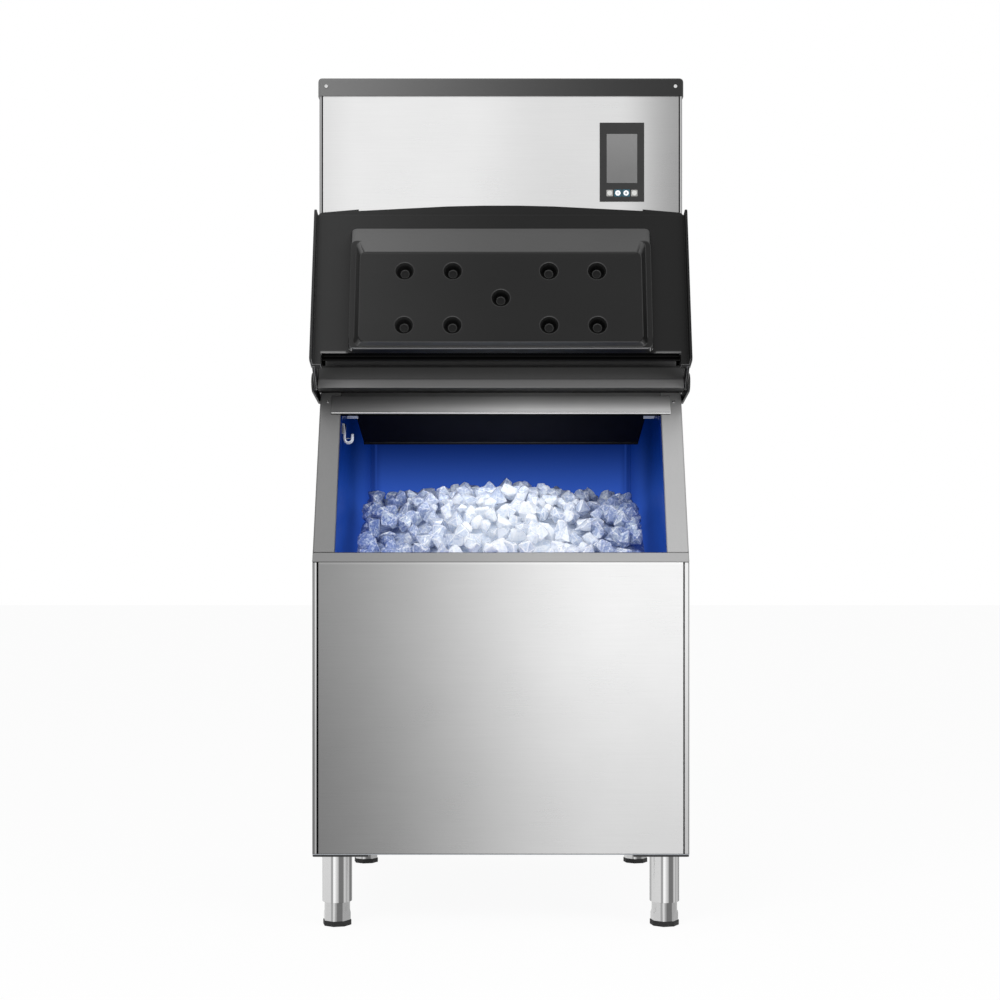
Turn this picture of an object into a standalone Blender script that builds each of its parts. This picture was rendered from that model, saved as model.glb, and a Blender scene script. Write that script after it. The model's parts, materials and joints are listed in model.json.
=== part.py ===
"""Commercial ice maker: a modular ice head that stands on an insulated bin with a lift-up door.

Metres, +Z up, front towards -Y. The origin is on the floor, in the middle of the machine's footprint.
The door is modelled open, leaning back on the head, which is how the machine is shown.
"""

import math
import random

import bmesh
import bpy
from mathutils import Matrix, Vector

# Fits
fit_gap = 0.0003
running_gap = 0.0005
cut_overrun = 0.02

# Storage bin
cabinet_width = 0.763
bin_depth = 0.800
floor_clearance = 0.151
front_panel_height = 0.593
slant_rise = 0.359
slant_setback = 0.150
rim_height = 0.007
sheet = 0.0015
corner_strip = 0.009
panel_gap = 0.003
panel_return = 0.012
wall_thickness = 0.045
liner_sheet = 0.004
liner_draft = 0.013
liner_corner_radius = 0.025
floor_thickness = 0.050
header_depth = 0.030

# Slanted opening frame
side_rail_width = 0.04375
top_rail_width = 0.0496
bottom_rail_width = 0.0204
rail_thickness = 0.012
rail_proud = 0.0015
top_strip_inset = 0.024
top_strip_proud = 0.0020
top_strip_start = 0.008
top_strip_lip = 0.0035

# Legs and feet
leg_inset_x = 0.0455
leg_inset_y = 0.050
leg_radius = 0.0305
leg_tube_length = 0.102
leg_wall = 0.002
leg_plate_size = 0.136
leg_plate_thickness = 0.004
foot_neck_radius = 0.0262
foot_radius = 0.0285
foot_height = 0.031
foot_pad_radius = 0.0300
foot_pad_height = 0.0105
foot_turn = math.radians(-9.5)
foot_top_taper = 0.006
foot_stem_length = 0.045

# Hood and hinge
hood_side_inset = 0.0015
hood_lip_setback = 0.0720
hood_flare = 0.0160
hood_flare_height = 0.0210
hood_face_lean = 0.004
hood_face_height = 0.0270
hood_ledge_step = 0.007
hood_ledge_height = 0.0135
hood_ledge_inset = 0.0145
hood_cheek_gap = 0.0013
hood_cheek_back_gap = 0.009
hood_cheek_drop = 0.0025
hood_cheek_relief = (0.0125, 0.0185)
hinge_setback = 0.0762
hinge_rise = 0.012
hinge_pin_radius = 0.005
hinge_arm_thickness = 0.005
hinge_eye_lap = 0.0020
hinge_eye_radius = 0.0150
hinge_bracket_radius = 0.0205
hinge_bracket_thickness = 0.0045
hinge_foot_radius = 0.0110
hinge_foot_setback = 0.110
hinge_foot_drop = 0.021

# Door
door_side_gap = 0.0020
door_arm_width = 0.0170
door_flange_thickness = 0.004
door_flange_depth = 0.016
door_flange_flare = 0.006
door_seal_gap = 0.005
door_plate_thickness = 0.022
door_rest_gap = 0.001
door_top_lap = 0.0030
door_band_width = 0.0095
door_band_thickness = 0.006
door_notch_depth = 0.025
door_edge_inset = 0.0040
door_grip_drop = 0.012
door_corner_grip = 0.012
door_corner_rise = 0.007
door_grip_step = 0.0035
door_grip_arch = 0.0125
door_grip_side = 0.084
plug_side_gap = 0.0268
plug_top_gap = 0.0060
plug_end_gap = 0.0350
plug_rim_depth = 0.0215
plug_rim_draft = 0.002
plug_corner_radius = 0.012
plug_depth = 0.040
plug_bevel_length = 0.0730
plug_panel_side = 0.0135
plug_panel_draft = 0.0100
plug_panel_start = 0.0060
recess_radius = 0.0190
recess_floor_radius = 0.0090
recess_depth = 0.0170
recess_pitch_x = 0.0980
recess_pitch_z = 0.0593
recess_centre = 0.1040

# Bin fittings
deflector_side_gap = 0.01275
deflector_taper = 0.0224
deflector_thickness = 0.003
deflector_top_setback = 0.190
deflector_drop = 0.096
deflector_run = 0.105
deflector_flange = 0.008
clip_width = 0.012
clip_start_share = 0.34
clip_end_share = 0.48
clip_lap = 0.008
clip_thickness = 0.006
hook_height = 0.043
hook_reach = 0.023
hook_wire = 0.0060
hook_foot_thickness = 0.002
hook_tip = 0.010
hook_top_height = 1.036
hook_setback = 0.140
ice_headroom = 0.189
ice_crown_share = 0.42
ice_front_drop = 0.150
ice_edge_drop = 0.060
ice_lump = 0.018
ice_wall_gap = 0.003
drain_radius = 0.013
drain_reach = 0.030
drain_flange_radius = 0.022
drain_height = 0.040

# Ice head
head_height = 0.653
head_setback = 0.127
head_strip = 0.0046
head_panel_gap = 0.0025
cap_height = 0.0386
cap_overhang = 0.003
cap_wall = 0.0027
cap_edge_radius = 0.008
base_pan_height = 0.020
panel_width = 0.0936
panel_height = 0.166
panel_side_inset = 0.0799
panel_drop = 0.056
panel_thickness = 0.010
panel_proud = 0.0018
panel_frame = 0.006
screen_width = 0.0643
screen_height = 0.1033
screen_drop = 0.0237
screen_thickness = 0.004
screen_sink = 0.0005
button_radius = 0.0057
button_pitch = 0.01727
button_rise = 0.0177
button_proud = 0.0008
button_length = 0.0060
button_travel = 0.0012

# Inner works of the head
chute_start = 0.170
chute_depth = 0.130
louvre_count = 14
louvre_start = 0.080
louvre_pitch = 0.020
louvre_length = 0.240
louvre_height = 0.005
louvre_back_gap = 0.080
vent_count = 16
vent_start = 0.020
vent_pitch = 0.017
vent_height = 0.006
vent_inset = 0.014
freezer_side_inset = 0.0365
freezer_width_share = 0.5636
freezer_chute_gap = 0.015
freezer_start = 0.160
freezer_back = 0.383
freezer_height = 0.520
frame_plate = 0.003
grid_drop = 0.030
grid_depth = 0.030
grid_height = 0.320
grid_inset = 0.008
grid_wall = 0.002
grid_columns = 14
grid_rows = 11
pipe_radius = 0.010
curtain_gap = 0.012
curtain_overlap = 0.010
curtain_thickness = 0.003
curtain_pin_radius = 0.003
curtain_side_gap = 0.004
trough_wall = 0.002
trough_gap = 0.020
trough_height = 0.060
trough_depth = 0.080
pump_radius = 0.030
pump_drop = 0.030
pump_height = 0.055
compressor_gap = 0.047
compressor_radius = 0.080
compressor_height = 0.240
compressor_flange = 0.006
condenser_side_inset = 0.0165
condenser_gap = 0.010
condenser_height_share = 1.1112
condenser_depth = 0.044
condenser_rim = 0.010
fin_count = 30
shroud_thickness = 0.003
fan_side_margin = 0.020
fan_tip_gap = 0.004
fan_standoff = 0.014
fan_hub_radius = 0.024
fan_hub_length = 0.026
fan_blades = 5
fan_blade_width = 0.070
fan_blade_thickness = 0.002
fan_pitch = math.radians(24)
motor_radius = 0.036
motor_length = 0.055
motor_shaft_radius = 0.004
motor_arm = 0.008
suction_radius = 0.006
suction_rise = 0.060
suction_bend = 0.024
suction_inset = 0.020
box_half_width = 0.110
box_margin = 0.030
box_depth = 0.070
fitting_side_inset = 0.1615
fitting_pitch = 0.070
fitting_rise = 0.120
drain_outlet_rise = 0.040
valve_radius = 0.011
outlet_radius = 0.012
gland_radius = 0.010
fitting_inside = 0.030
fitting_outside = 0.026
fitting_flange = 0.007


def slant_pair(along, inward):
    """World Y and Z of a point on the slanted front: a distance down the slope, and one into the bin."""
    y = slant_top_y - along * slant_sin + inward * slant_cos
    z = slant_top_z - along * slant_cos - inward * slant_sin
    return y, z


def rest_lean(reach, standoff, room):
    """Angle at which the open door, with its face a standoff from the hinge, leans on the head."""
    return math.atan2(standoff, reach) + math.asin(room / math.hypot(reach, standoff))


# Places that follow from the sizes
half_width = cabinet_width / 2
opening_width = cabinet_width - side_rail_width * 2
hood_width = cabinet_width - hood_side_inset * 2
deflector_width = opening_width - deflector_side_gap * 2
panel_centre_x = half_width - panel_side_inset - panel_width / 2
freezer_left = freezer_side_inset - half_width
freezer_right = freezer_left + cabinet_width * freezer_width_share
chute_left = freezer_left + freezer_chute_gap
chute_right = freezer_right - freezer_chute_gap
condenser_left = freezer_right + condenser_gap
condenser_right = half_width - condenser_side_inset
condenser_height = (condenser_right - condenser_left) * condenser_height_share
compressor_x = (condenser_left + condenser_right) / 2
compressor_setback = freezer_back + compressor_gap
fan_radius = (condenser_right - condenser_left) / 2 - fan_side_margin
fitting_x = fitting_side_inset - half_width
slant_length = math.hypot(slant_rise, slant_setback)
slant_sin = slant_setback / slant_length
slant_cos = slant_rise / slant_length
slant_angle = math.atan2(slant_setback, slant_rise)
panel_top_z = floor_clearance + front_panel_height
slant_top_z = panel_top_z + slant_rise
bin_top_z = slant_top_z + rim_height
head_top_z = bin_top_z + head_height
hinge_z = slant_top_z + hinge_rise
ice_crown_height = slant_top_z - ice_headroom

# The hinge axis seen from the slanted face: its distance in front, and its place along the slope
hinge_off_y = hinge_setback - slant_setback
hinge_standoff = hinge_rise * slant_sin - hinge_off_y * slant_cos
hinge_along = -hinge_off_y * slant_sin - hinge_rise * slant_cos

# Door distances from the hinge axis: along the door (start, end) and across it (face, back)
opening_end = slant_length - bottom_rail_width
door_face = hinge_standoff - door_seal_gap
door_back = door_face - door_plate_thickness
door_band_start = top_rail_width - door_top_lap - hinge_along
door_start = door_band_start + door_band_width
door_end = opening_end - door_edge_inset - hinge_along
door_tip = door_end + door_corner_grip + door_corner_rise - door_grip_step + door_grip_arch
door_lean = rest_lean(door_tip, door_back, head_setback - door_rest_gap - hinge_setback)
plug_start = top_rail_width + plug_top_gap - hinge_along
plug_end = opening_end - plug_end_gap - hinge_along
plug_half_width = opening_width / 2 - plug_side_gap

# The footprint runs from the open door's plug to the drain behind the bin
plug_front_u = plug_start + plug_panel_start
plug_out = (door_face + plug_depth) * math.cos(door_lean)
plug_reach = plug_out - plug_front_u * math.sin(door_lean) - hinge_setback
bin_front_y = (plug_reach - bin_depth - drain_reach) / 2
bin_back_y = bin_front_y + bin_depth
slant_top_y = bin_front_y + slant_setback
head_front_y = bin_front_y + head_setback
hinge_y = bin_front_y + hinge_setback
panel_low_z = head_top_z - cap_height - panel_drop - panel_height


def finish(name, colour, roughness, metallic):
    """Principled material."""
    material = bpy.data.materials.new(name)
    material.use_nodes = True
    shader = material.node_tree.nodes["Principled BSDF"]
    shader.inputs["Base Color"].default_value = (*colour, 1.0)
    shader.inputs["Roughness"].default_value = roughness
    shader.inputs["Metallic"].default_value = metallic
    return material


def add_object(name, bm, material, location=(0, 0, 0), rotation=(0, 0, 0), parent=None):
    """Turns a bmesh into a named object."""
    bmesh.ops.recalc_face_normals(bm, faces=bm.faces)
    mesh = bpy.data.meshes.new(name)
    bm.to_mesh(mesh)
    bm.free()
    mesh.materials.append(material)
    piece = bpy.data.objects.new(name, mesh)
    piece.location = location
    piece.rotation_euler = rotation
    piece.parent = parent
    bpy.context.scene.collection.objects.link(piece)
    return piece


def smooth(piece, angle=35):
    """Smooth shading with sharp edges above an angle."""
    piece.data.shade_smooth()
    piece.data.set_sharp_from_angle(angle=math.radians(angle))
    return piece


def bevel(piece, width, segments=2, angle=50):
    """Rounds the sharp edges."""
    modifier = piece.modifiers.new("rounded_edges", "BEVEL")
    modifier.width = width
    modifier.segments = segments
    modifier.limit_method = "ANGLE"
    modifier.angle_limit = math.radians(angle)
    return piece


def combine(piece, other, operation):
    """Boolean of one object with another, which is hidden."""
    modifier = piece.modifiers.new(operation.lower(), "BOOLEAN")
    modifier.operation = operation
    modifier.object = other
    other.hide_render = True
    other.display_type = "WIRE"
    return piece


def cut(piece, *cutters):
    for cutter in cutters:
        combine(piece, cutter, "DIFFERENCE")
    return piece


def weld(piece, *others):
    for other in others:
        combine(piece, other, "UNION")
    return piece


def prism(name, outline, axis, start, end, material, **placing):
    """Flat outline pushed along an axis. Its points are pairs along the other two axes."""
    def place(pair, along):
        return {"X": (along, *pair), "Y": (pair[0], along, pair[1]), "Z": (*pair, along)}[axis]
    bm = bmesh.new()
    near = [bm.verts.new(place(pair, start)) for pair in outline]
    far = [bm.verts.new(place(pair, end)) for pair in outline]
    bm.faces.new(near)
    bm.faces.new(far)
    join_rings(bm, near, far)
    return add_object(name, bm, material, **placing)


def block(name, low, high, material, **placing):
    """Box between two corners."""
    outline = [(low[0], low[1]), (high[0], low[1]), (high[0], high[1]), (low[0], high[1])]
    return prism(name, outline, "Z", low[2], high[2], material, **placing)


def blocks(name, boxes, material, **placing):
    """Several boxes in one object, used as a cutter."""
    bm = bmesh.new()
    for low, high in boxes:
        size = Vector(high) - Vector(low)
        middle = (Vector(high) + Vector(low)) / 2
        matrix = Matrix.Translation(middle) @ Matrix.Diagonal((*size, 1))
        bmesh.ops.create_cube(bm, size=1, matrix=matrix)
    return add_object(name, bm, material, **placing)


def join_rings(bm, lower, upper):
    """Faces between two rings of points; a ring of one point is a pole."""
    count = max(len(lower), len(upper))
    for step in range(count):
        following = (step + 1) % count
        corners = [lower[step % len(lower)], lower[following % len(lower)]]
        corners += [upper[following % len(upper)], upper[step % len(upper)]]
        bm.faces.new(list(dict.fromkeys(corners)))


def turned(name, profile, material, centre, axis="Z", steps=24, parent=None):
    """Solid of revolution from (radius, height) pairs that start and end on the axis."""
    turn = {"X": (0, math.pi / 2, 0), "Y": (-math.pi / 2, 0, 0), "Z": (0, 0, 0)}[axis]
    bm = bmesh.new()
    rings = []
    for radius, height in profile:
        angles = [math.tau * step / steps for step in range(steps if radius else 1)]
        rings.append([bm.verts.new((radius * math.cos(a), radius * math.sin(a), height)) for a in angles])
    for lower, upper in zip(rings, rings[1:]):
        join_rings(bm, lower, upper)
    return smooth(add_object(name, bm, material, centre, turn, parent))


def rod(name, radius, start, end, material, centre, axis="Z", steps=24, parent=None):
    """Plain cylinder along an axis, between two distances from its centre."""
    profile = [(0, start), (radius, start), (radius, end), (0, end)]
    return turned(name, profile, material, centre, axis, steps, parent)


def arc(centre, radius, start, end, steps):
    """Points along an arc between two angles in degrees."""
    angles = [math.radians(start + (end - start) * step / steps) for step in range(steps + 1)]
    return [(centre[0] + radius * math.cos(a), centre[1] + radius * math.sin(a)) for a in angles]


def round_rectangle(low, high, radius, steps=4):
    """Outline of a rectangle with round corners."""
    points = arc((high[0] - radius, high[1] - radius), radius, 0, 90, steps)
    points += arc((low[0] + radius, high[1] - radius), radius, 90, 180, steps)
    points += arc((low[0] + radius, low[1] + radius), radius, 180, 270, steps)
    points += arc((high[0] - radius, low[1] + radius), radius, 270, 360, steps)
    return points


def bin_panels(steel, galvanised):
    """Sheet steel casing: two folded side panels, a front tray panel, a back panel and a base."""
    wall = half_width - sheet
    base_top = floor_clearance + sheet
    side_bottom = base_top + fit_gap
    low = (-half_width, bin_front_y, floor_clearance)
    block("bin_base", low, (half_width, bin_back_y, base_top), galvanised)
    for side, name in ((-1, "bin_side_panel_left"), (1, "bin_side_panel_right")):
        outline = [
            (bin_front_y, side_bottom),
            (bin_front_y, panel_top_z - fit_gap),
            slant_pair(slant_length + fit_gap, rail_thickness + fit_gap),
            slant_pair(0, rail_thickness + fit_gap),
            (slant_pair(0, rail_thickness + fit_gap)[0], bin_top_z),
            (bin_back_y, bin_top_z),
            (bin_back_y, side_bottom),
        ]
        panel = prism(name, outline, "X", side * wall, side * half_width, steel)
        low = (min(side * (half_width - corner_strip), side * wall), bin_front_y, side_bottom)
        fold_top = panel_top_z - sheet * slant_sin / slant_cos - fit_gap * 2
        high = (max(side * (half_width - corner_strip), side * wall), bin_front_y + sheet, fold_top)
        weld(panel, block(name + "_fold", low, high, steel))
    inner = half_width - corner_strip - panel_gap
    tray = folded_front("bin_front_panel", side_bottom, panel_top_z - fit_gap, bin_front_y, inner, steel)
    for vertex in tray.data.vertices:
        if vertex.co.z > side_bottom + fit_gap:
            vertex.co.z -= (vertex.co.y - bin_front_y) * slant_sin / slant_cos
    back = wall - fit_gap
    low = (-back, bin_back_y - sheet, side_bottom)
    panel = block("bin_back_panel", low, (back, bin_back_y, bin_top_z), galvanised)
    cut(panel, drain_cutter("bin_back_panel_hole", galvanised))


def drain_place():
    """Start of the bin drain: the back of the liner, just above its floor."""
    return (0, bin_back_y, floor_clearance + floor_thickness + drain_height)


def drain_cutter(name, material):
    reach = wall_thickness + cut_overrun
    return rod(name, drain_radius + fit_gap, -reach, cut_overrun, material, drain_place(), "Y")


def cavity(name, offset, radius, material):
    """Solid of the ice space grown by an offset: open through the slant and the top, with round corners."""
    floor = floor_clearance + floor_thickness - offset
    front = bin_front_y + wall_thickness - offset
    back = bin_back_y - wall_thickness + offset
    sill = opening_end + offset
    sill_inward = (front - slant_top_y + sill * slant_sin) / slant_cos
    overrun = cut_overrun + liner_corner_radius
    header_z = slant_pair(top_rail_width - offset, 0)[1]
    outside_y = slant_top_y - (slant_top_z - header_z) * slant_sin / slant_cos - overrun
    header_y = slant_pair(top_rail_width, header_depth - offset)[0]
    tight = radius * 0.1
    sections = []
    for step in range(5):
        angle = math.pi / 2 * step / 4
        inset = radius * (1 - math.sin(angle))
        level = floor + radius * (1 - math.cos(angle))
        sections.append((level, front + inset, inset, max(radius - inset, tight)))
    wall_end, sill_end = slant_pair(sill, sill_inward), slant_pair(sill, -overrun)
    sections += [(wall_end[1], wall_end[0], 0, radius), (sill_end[1], sill_end[0], 0, tight)]
    sections += [(header_z, outside_y, 0, tight), (header_z + cut_overrun * 0.1, header_y, 0, radius)]
    sections.append((bin_top_z + cut_overrun, header_y, 0, radius))
    half = opening_width / 2 + offset
    rings = []
    for z, front_y, inset, corner in sections:
        points = round_rectangle((inset - half, front_y), (half - inset, back - inset), corner)
        taper = [half - liner_draft * (y - bin_front_y) / bin_depth for x, y in points]
        rings.append([(x * wide / half, y, z) for (x, y), wide in zip(points, taper)])
    return ring_stack(name, rings, material)


def bin_lining(foam, liner_blue):
    """Foam walls with the moulded liner inside them."""
    outer_front = bin_front_y + sheet + fit_gap
    outer_back = bin_back_y - sheet - fit_gap
    bottom = floor_clearance + sheet + fit_gap
    side = half_width - sheet - fit_gap
    inset = rail_thickness + fit_gap
    lean = slant_sin / slant_cos
    outline = [
        (outer_front, bottom),
        (outer_front, panel_top_z - (outer_front - bin_front_y) * lean - fit_gap * 2),
        slant_pair(slant_length + fit_gap * 2, inset),
        slant_pair(0, inset),
        (slant_pair(0, inset)[0], bin_top_z - fit_gap),
        (outer_back, bin_top_z - fit_gap),
        (outer_back, bottom),
    ]
    foam_walls = prism("bin_insulation", outline, "X", -side, side, foam)
    fold = half_width - corner_strip - panel_gap - sheet - fit_gap
    low = bin_front_y - cut_overrun
    corner_y = bin_front_y + panel_return + fit_gap
    corners = [((fold, low, 0), (half_width, corner_y, panel_top_z))]
    corners.append(((-half_width, low, 0), (-fold, corner_y, panel_top_z)))
    cut(
        foam_walls,
        cavity("foam_cavity", liner_sheet + fit_gap, liner_corner_radius - liner_sheet, foam),
        drain_cutter("foam_drain", foam),
        blocks("foam_corners", corners, foam),
    )
    liner = prism("bin_liner", outline, "X", -side, side, liner_blue)
    outside = cavity("liner_outside", liner_sheet, liner_corner_radius + liner_sheet, liner_blue)
    combine(liner, outside, "INTERSECT")
    inside = cavity("liner_cavity", 0, liner_corner_radius, liner_blue)
    cut(liner, inside, drain_cutter("liner_drain", liner_blue))


def bin_drain(plastic):
    """Drain pipe through the back wall, with a flange against the panel."""
    bore = drain_radius - liner_sheet
    start = -wall_thickness + fit_gap
    flange = (drain_flange_radius, fit_gap)
    profile = [
        (bore, start),
        (drain_radius, start),
        (drain_radius, fit_gap),
        flange,
        (drain_flange_radius, fit_gap + liner_sheet),
        (drain_radius, fit_gap + liner_sheet),
        (drain_radius, drain_reach),
        (bore, drain_reach),
        (bore, start),
    ]
    bm = bmesh.new()
    steps = 20
    rings = []
    for radius, height in profile[:-1]:
        angles = [math.tau * step / steps for step in range(steps)]
        rings.append([bm.verts.new((radius * math.cos(a), radius * math.sin(a), height)) for a in angles])
    for lower, upper in zip(rings, rings[1:] + rings[:1]):
        join_rings(bm, lower, upper)
    smooth(add_object("bin_drain", bm, plastic, drain_place(), (-math.pi / 2, 0, 0)))


def opening_frame(steel):
    """Four stainless rails on the slanted front, and the raised strip on the top one."""
    slope = bpy.data.objects.new("slope", None)
    bpy.context.scene.collection.objects.link(slope)
    slope.location = (0, slant_top_y, slant_top_z)
    slope.rotation_euler = (-slant_angle, 0, 0)
    inner = opening_width / 2
    low_end = -opening_end
    face = -rail_proud
    for side, name in ((-1, "frame_rail_left"), (1, "frame_rail_right")):
        low = (min(side * inner, side * half_width), face, low_end + fit_gap)
        high = (max(side * inner, side * half_width), rail_thickness, 0)
        bevel(block(name, low, high, steel, parent=slope), rail_proud / 2, 1)
    low = (-half_width, face, -slant_length)
    bottom = block("frame_rail_bottom", low, (half_width, rail_thickness, low_end), steel, parent=slope)
    bevel(bottom, rail_proud / 2, 1)
    strip_half = half_width - top_strip_inset
    skin = face - fit_gap
    outer = skin - top_strip_proud
    lip_start = -top_rail_width - top_strip_lip
    outline = [
        (skin, -top_strip_start),
        (outer, -top_strip_start - top_strip_proud),
        (outer, lip_start),
        (skin, lip_start),
    ]
    strip = prism("frame_rail_top", outline, "X", -strip_half, strip_half, steel, parent=slope)
    channel = [
        (outer + top_strip_proud / 2, -top_strip_start - top_strip_proud),
        (face, 0),
        (rail_thickness, 0),
        (rail_thickness, -top_rail_width),
        (outer + top_strip_proud / 2, -top_rail_width),
    ]
    reach = inner - fit_gap
    weld(strip, prism("frame_rail_top_channel", channel, "X", -reach, reach, steel, parent=slope))


def legs(steel):
    """Round legs welded to mounting plates, with screwed levelling feet."""
    leg_x = half_width - leg_inset_x
    leg_y = (bin_front_y + leg_inset_y, bin_back_y - leg_inset_y)
    tube_top = floor_clearance - fit_gap
    plate_low = tube_top - leg_plate_thickness
    tube_end = tube_top - leg_tube_length
    for depth, y in zip(("front", "back"), leg_y):
        for side, x in (("left", -leg_x), ("right", leg_x)):
            half_plate = leg_plate_size / 2
            outline_low = (max(-half_plate, -half_width - x), max(-half_plate, bin_front_y - y))
            outline_high = (min(half_plate, half_width - x), min(half_plate, bin_back_y - y))
            bore = leg_radius - leg_wall
            plate_outline = round_rectangle(outline_low, outline_high, leg_wall * 2, 3)
            leg = prism(
                f"leg_{depth}_{side}", plate_outline, "Z", plate_low, tube_top, steel, location=(x, y, 0)
            )
            tube = [(0, plate_low + leg_wall), (leg_radius, plate_low + leg_wall), (leg_radius, tube_end)]
            tube += [(bore, tube_end), (bore, plate_low - leg_wall), (0, plate_low - leg_wall)]
            weld(leg, turned(f"leg_tube_{depth}_{side}", tube, steel, (x, y, 0), steps=32))
            levelling_foot(f"foot_{depth}_{side}", (x, y, 0), tube_end, steel)


def levelling_foot(name, place, tube_end, steel):
    """Eight-sided foot with a round neck that screws up into the leg."""
    sides = 8
    neck = foot_neck_radius
    bore = leg_radius - leg_wall - fit_gap
    flat_low = foot_pad_height
    flat_high = foot_height - foot_top_taper
    bm = bmesh.new()
    rings = []
    profile = [
        (0, 0, 0),
        (foot_pad_radius, 0, 1),
        (foot_pad_radius, flat_low, 1),
        (foot_radius, flat_low, 1),
        (foot_radius, flat_high, 1),
        (neck, foot_height, 0),
        (neck, tube_end - running_gap, 0),
        (bore, tube_end + running_gap, 0),
        (bore, tube_end + foot_stem_length, 0),
        (0, tube_end + foot_stem_length, 0),
    ]
    steps = sides * 4
    for radius, height, faceted in profile:
        ring = []
        for step in range(steps if radius else 1):
            angle = math.tau * step / steps
            turn = (angle % (math.tau / sides)) - math.pi / sides
            flat = math.cos(math.pi / sides) / math.cos(turn)
            reach = radius * (flat if faceted else 1)
            ring.append(bm.verts.new((reach * math.cos(angle), reach * math.sin(angle), height)))
        rings.append(ring)
    for lower, upper in zip(rings, rings[1:]):
        join_rings(bm, lower, upper)
    smooth(add_object(name, bm, steel, place, (0, 0, foot_turn)), 20)


def deflector(dark, white):
    """Sloping plate behind the top rail that sends falling ice to the back, on two clips."""
    top_y = bin_front_y + deflector_top_setback
    top_z = bin_top_z - fit_gap * 4
    low_y = top_y + deflector_run
    low_z = top_z - deflector_drop
    slope = math.atan2(deflector_run, deflector_drop)
    lean = Vector((math.cos(slope), math.sin(slope)))
    half = deflector_width / 2

    def beside(share, distance):
        """Point along the plate's upper face, at a distance above it."""
        return Vector((top_y + deflector_run * share, top_z - deflector_drop * share)) + lean * distance
    foot = beside(1, 0) - Vector((0, deflector_flange))
    outline = [
        beside(0, 0),
        beside(1, 0),
        foot,
        foot - Vector((deflector_thickness * lean.x, 0)),
        beside(1, -deflector_thickness),
        beside(0, -deflector_thickness),
    ]
    plate = prism("ice_deflector", outline, "X", -half, half, dark)
    for vertex in plate.data.vertices:
        share = min((vertex.co.y - top_y) / deflector_run, 1)
        vertex.co.x -= math.copysign(deflector_taper * share, vertex.co.x)
    under = -deflector_thickness - fit_gap
    share = (clip_start_share + clip_end_share) / 2
    edge = half - deflector_taper * clip_start_share + fit_gap
    wall_share = (top_y + deflector_run * clip_end_share - bin_front_y) / bin_depth
    wall = opening_width / 2 - liner_draft * wall_share - fit_gap
    for side, name in ((-1, "deflector_clip_left"), (1, "deflector_clip_right")):
        shelf = [beside(clip_start_share, under), beside(clip_end_share, under)]
        low = under - clip_thickness
        shelf += [beside(clip_end_share, low), beside(clip_start_share, low)]
        jaw = [beside(clip_start_share, clip_thickness), beside(clip_end_share, clip_thickness)]
        low = under - clip_thickness / 2
        jaw += [beside(clip_end_share, low), beside(clip_start_share, low)]
        ends = sorted((side * (edge - clip_lap), side * wall))
        clip = prism(name, shelf, "X", *ends, white)
        ends = sorted((side * edge, side * (edge + clip_width)))
        weld(clip, prism(name + "_jaw", jaw, "X", *ends, white))


def ice_heap(ice):
    """Mound of ice that stands in for loose cubes: lumpy on top, flat underneath."""
    generator = random.Random(7)
    bottom = floor_clearance + floor_thickness + fit_gap
    front = bin_front_y + wall_thickness + ice_wall_gap
    back = bin_back_y - wall_thickness - ice_wall_gap
    columns, rows = 44, 42
    corner = liner_corner_radius
    bm = bmesh.new()
    top, under = [], []
    for row in range(rows + 1):
        down = row / rows
        y = front + (back - front) * down
        half = opening_width / 2 - liner_draft * (y - bin_front_y) / bin_depth - ice_wall_gap
        inset = max(0, corner - min(y - front, back - y))
        half -= corner - math.sqrt(max(corner ** 2 - inset ** 2, 0))
        top_row, under_row = [], []
        for column in range(columns + 1):
            across = 2 * column / columns - 1
            fall = ice_edge_drop * abs(across) ** 2.4
            slope = ice_front_drop * max(0, 1 - down / ice_crown_share) ** 1.6
            back_slope = ice_edge_drop * max(0, (down - ice_crown_share) / (1 - ice_crown_share)) ** 2
            lump = ice_lump * (generator.random() - 0.5)
            height = ice_crown_height - fall - slope - back_slope + lump
            shift = ice_lump * 0.3 * (generator.random() - 0.5) * (abs(across) < 1)
            top_row.append(bm.verts.new((across * half + shift, y, height)))
            inner_y = min(max(y, front + corner), back - corner)
            under_row.append(bm.verts.new((across * (half - corner), inner_y, bottom)))
        top.append(top_row)
        under.append(under_row)
    for near, far in zip(top, top[1:]):
        for column in range(columns):
            bm.faces.new((near[column], near[column + 1], far[column + 1], far[column]))
    rim = top[0] + [line[-1] for line in top[1:-1]] + top[-1][::-1] + [line[0] for line in top[-2:0:-1]]
    for lines in under:
        for vertex in lines:
            bm.verts.remove(vertex)
    levels = [rim]
    for inset_share, level in ((0, bottom + corner), (0.3, bottom + corner * 0.3), (1, bottom)):
        ring = []
        for vertex in rim:
            x, y = vertex.co.x, vertex.co.y
            reach_x = max(abs(x) - corner * inset_share, 0)
            middle = (front + back) / 2
            reach_y = max(abs(y - middle) - corner * inset_share, 0)
            place = (math.copysign(reach_x, x), middle + math.copysign(reach_y, y - middle), level)
            ring.append(bm.verts.new(place))
        join_rings(bm, levels[-1], ring)
        levels.append(ring)
    bm.faces.new(levels[-1])
    add_object("ice_heap", bm, ice)


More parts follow.
